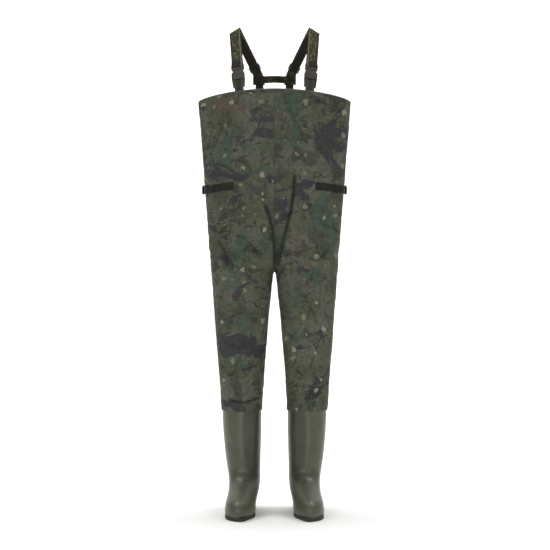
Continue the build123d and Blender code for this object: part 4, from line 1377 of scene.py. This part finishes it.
def boot_mesh(name, side, rings, material, node):
    """A closed ring surface through rings of points, mirrored for the right side."""
    columns = len(rings[0])
    verts = [(-side * p.x, p.y, p.z) for ring in rings for p in ring]
    obj = add_mesh(name, verts, grid_faces(len(rings), columns), [material])
    face_outward(obj, fill=True)
    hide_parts(node)
    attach(obj, "garment")
    return obj


def build_boot(word, side):
    """The moulded boot: shell, foxing band, toe and heel caps, and the painted shade and painted
    highlight its material reads.
    """
    # outside from the sole up, over the rim and down the inside
    heights = list(np.linspace(SOLE_TOP, 0.120, 28)) + list(np.linspace(0.128, 0.350, 34))
    rings = [dent_boot(boot_ring(z, 0.0), z) for z in heights]
    rings.append(boot_ring(0.3518, 0.0006))
    rings.append(boot_ring(0.3520, BOOT_WALL / 2))
    rings.append(boot_ring(0.3518, BOOT_WALL - 0.0006))
    inner = list(np.linspace(0.350, 0.128, 20)) + list(np.linspace(0.120, 0.0182, 16))
    rings += [dent_boot(boot_ring(z, BOOT_WALL), z) for z in inner]
    boot = boot_mesh(f"{word}_boot_shell", side, rings, BOOT, f"{word}_boot")
    co = coords_of(boot)
    # foxing band and toe cap: raised moulded edges round the foot
    n = normals_of(boot)
    x, y, z = co.T
    outside = np.arange(len(co)) < len(heights) * RING_POINTS
    band = 1 / (1 + np.exp((z - 0.030) / 0.0008))
    cap = (1 / (1 + np.exp((y + 0.092) / 0.0010))) * (1 / (1 + np.exp((z - 0.064) / 0.0010)))
    heel = (1 / (1 + np.exp((0.108 - y) / 0.0010))) * (1 / (1 + np.exp((z - 0.078) / 0.0010)))
    cuff = 1 / (1 + np.exp((0.346 - z) / 0.0005))
    lift = np.maximum(band * 0.0012, np.maximum(cap * 0.0009, heel * 0.0009))
    lift = np.where(z > 0.125, -0.0002 * cuff, lift)
    set_coords(boot, co + n * (lift * outside)[:, None])
    # painted shade darkens the inner side of the shaft, which faces the other boot, and a painted
    # highlight makes the front ridge paler
    around = np.arctan2(ANKLE_X - np.abs(x), SHAFT_Y - y)
    turn = around - ridge_angle(z)
    inner = 1 / (1 + np.exp(-turn / 0.07)) * np.clip((pi - around) / 0.8, 0, 1)
    inner *= np.clip((z - 0.02) / 0.08, 0, 1)
    # painted highlight: a pale line along the front ridge of the shaft, mottled by noise
    ridge_wear_and_highlight = np.exp(-((turn + 0.06) / 0.09) ** 2) * np.clip((z - 0.14) / 0.08, 0, 1)
    ridge_wear_and_highlight *= 0.75 + 0.5 * noise_at(co, 30.0, 9.0)
    set_layer(boot, "inner", np.clip(inner, 0, 1))
    set_layer(boot, "ridge", np.clip(ridge_wear_and_highlight, 0, 1))


# height, depth and width of the folds at the ankle
BOOT_FOLDS = [(0.148, 0.0006, 0.011), (0.172, 0.0003, 0.012), (0.128, 0.0003, 0.009)]


def ridge_angle(z):
    """Where the pressed front ridge of the shaft runs, as an angle towards the inner side."""
    return 0.04 - 0.10 * np.sin((z - 0.17) * 17)


def dent_boot(ring, z):
    """Soft hollows and folds of a rubber boot at the ankle and instep."""
    out = []
    for p in ring:
        around = atan2(p.x + ANKLE_X, -(p.y - SHAFT_Y))
        facing = cos(around)
        fold = 0.0
        for height, depth, width in BOOT_FOLDS:
            wave = z - height - 0.010 * (1 - facing) - 0.004 * sin(around * 1.5)
            fold += depth * np.exp(-((wave / width) ** 2)) * (0.4 + 0.6 * abs(sin(around)))
        shaft = 0.0
        if z > 0.17:
            shaft = 0.0008 * noise.noise(Vector((around * 1.2, z * 12, 0.3)))
            shaft *= min(1.0, (z - 0.17) / 0.04)
            shaft *= min(1.0, max(0.0, (0.335 - z) / 0.03))
        # pressed ridge down the front of the shaft, wandering a little
        turn = around - ridge_angle(z)
        ridge = 0.0046 * np.exp(-abs(turn) / 0.30) * min(1.0, max(0.0, (z - 0.125) / 0.05))
        shaft += ridge * min(1.0, max(0.0, (0.345 - z) / 0.02))
        centre = Vector((-ANKLE_X, SHAFT_Y, z))
        away = (p - centre).normalized()
        share = min(1.0, max(0.0, (z - 0.115) / 0.02))
        out.append(p - away * (fold * share - shaft))
    return out


def build_insole(word, side):
    """Felt insole, thin and softly crowned."""
    layers = []
    section = [
        (0.0072, 0.0182), (0.0060, 0.0190), (0.0060, 0.0204), (0.0068, 0.0211), (0.012, 0.0214),
        (0.020, 0.0215), (0.030, 0.0215),
    ]
    for inset, z in section:
        layers.append([Vector((p.x, p.y, z)) for p in boot_ring(SOLE_TOP, BOOT_WALL + inset)])
    obj = boot_mesh(f"{word}_insole_felt", side, layers, FELT, f"{word}_insole")


# ---------------------------------------------------------------- assemble
build_hem()
build_tapes()
build_seam_stitches()
build_crossbar()
for word, side in SIDES.items():
    build_shoulder_straps(word, side)
    build_tab_and_yoke(word, side)
    build_waist(word, side)
    build_boot(word, side)
    build_insole(word, side)


def finish_node(name, material):
    """Give a CAD node its finish."""
    materials = NODES[name].data.materials
    materials.clear()
    materials.append(material)


for word in SIDES:
    finish_node(f"{word}_buckle_socket", BUCKLE_GREY)
    finish_node(f"{word}_buckle_clip", BUCKLE)
    for part in ("inner_prong", "outer_prong", "rear_slider"):
        finish_node(f"{word}_{part}", DARK_PLASTIC)
    finish_node(f"{word}_waist_lock", LOCK_GREY)
    finish_node(f"{word}_outsole", SOLE)


# ---------------------------------------------------------------- studio
def backdrop():
    """A pale floor that sweeps up behind the object."""
    profile = [(-9.0, 0.0), (2.0, 0.0)]
    for i in range(1, 13):
        a = pi / 2 * i / 12
        profile.append((2.0 + 2.5 * sin(a), 2.5 * (1 - cos(a))))
    profile.append((4.5, 9.0))
    verts, faces = [], []
    for y, z in profile:
        verts += [(-12.0, y, z - 0.0005), (12.0, y, z - 0.0005)]
    for i in range(len(profile) - 1):
        a = 2 * i
        faces.append((a, a + 1, a + 3, a + 2))
    s = Shader("backdrop_paper", roughness=0.9)
    s.bsdf.inputs["Base Color"].default_value = (0.92, 0.92, 0.91, 1.0)
    s.bsdf.inputs["Specular IOR Level"].default_value = 0.0
    paper = add_mesh("backdrop", verts, faces, [s.material])


def softbox(name, location, target, size, power, gloss_only=False):
    """A rectangular light aimed at a point; gloss_only keeps it to highlights."""
    light = bpy.data.lights.new(name, "AREA")
    light.shape = "RECTANGLE"
    light.size, light.size_y = size
    light.energy = power
    obj = bpy.data.objects.new(name, light)
    obj.visible_diffuse = not gloss_only
    obj.visible_camera = False
    bpy.context.scene.collection.objects.link(obj)
    obj.location = location
    obj.rotation_euler = (Vector(target) - Vector(location)).to_track_quat("-Z", "Y").to_euler()


def studio():
    """Backdrop, lights and world."""
    bpy.context.scene.view_settings.view_transform = "Standard"
    backdrop()
    softbox("key", (-2.8, -4.0, 2.2), (0, 0, 0.8), (2.0, 2.4), 47)
    softbox("strip", (-0.5, -4.8, 1.4), (0, 0, 0.3), (0.35, 2.2), 55, gloss_only=True)
    softbox("fill", (2.8, -4.0, 2.0), (0, 0, 0.7), (2.0, 2.4), 37)
    softbox("top", (0.0, 0.4, 4.2), (0, 0, 0.5), (3.0, 3.0), 40)
    softbox("back_wall", (0.0, 0.8, 5.0), (0, 4.5, 1.0), (7.0, 1.5), 320)
    world = bpy.data.worlds.new("studio")
    world.use_nodes = True
    shade = world.node_tree.nodes["Background"]
    shade.inputs["Color"].default_value = (1.0, 1.0, 1.0, 1.0)
    shade.inputs["Strength"].default_value = 0.34
    bpy.context.scene.world = world


def camera():
    """The photo's camera: level, straight on."""
    data = bpy.data.cameras.new("camera")
    data.lens = 79.14
    data.sensor_width = 36.0
    obj = bpy.data.objects.new("camera", data)
    bpy.context.scene.collection.objects.link(obj)
    obj.location = (0.0017, -4.0, 0.787)
    obj.rotation_euler = (pi / 2, 0, 0)
    bpy.context.scene.camera = obj


studio()
camera()
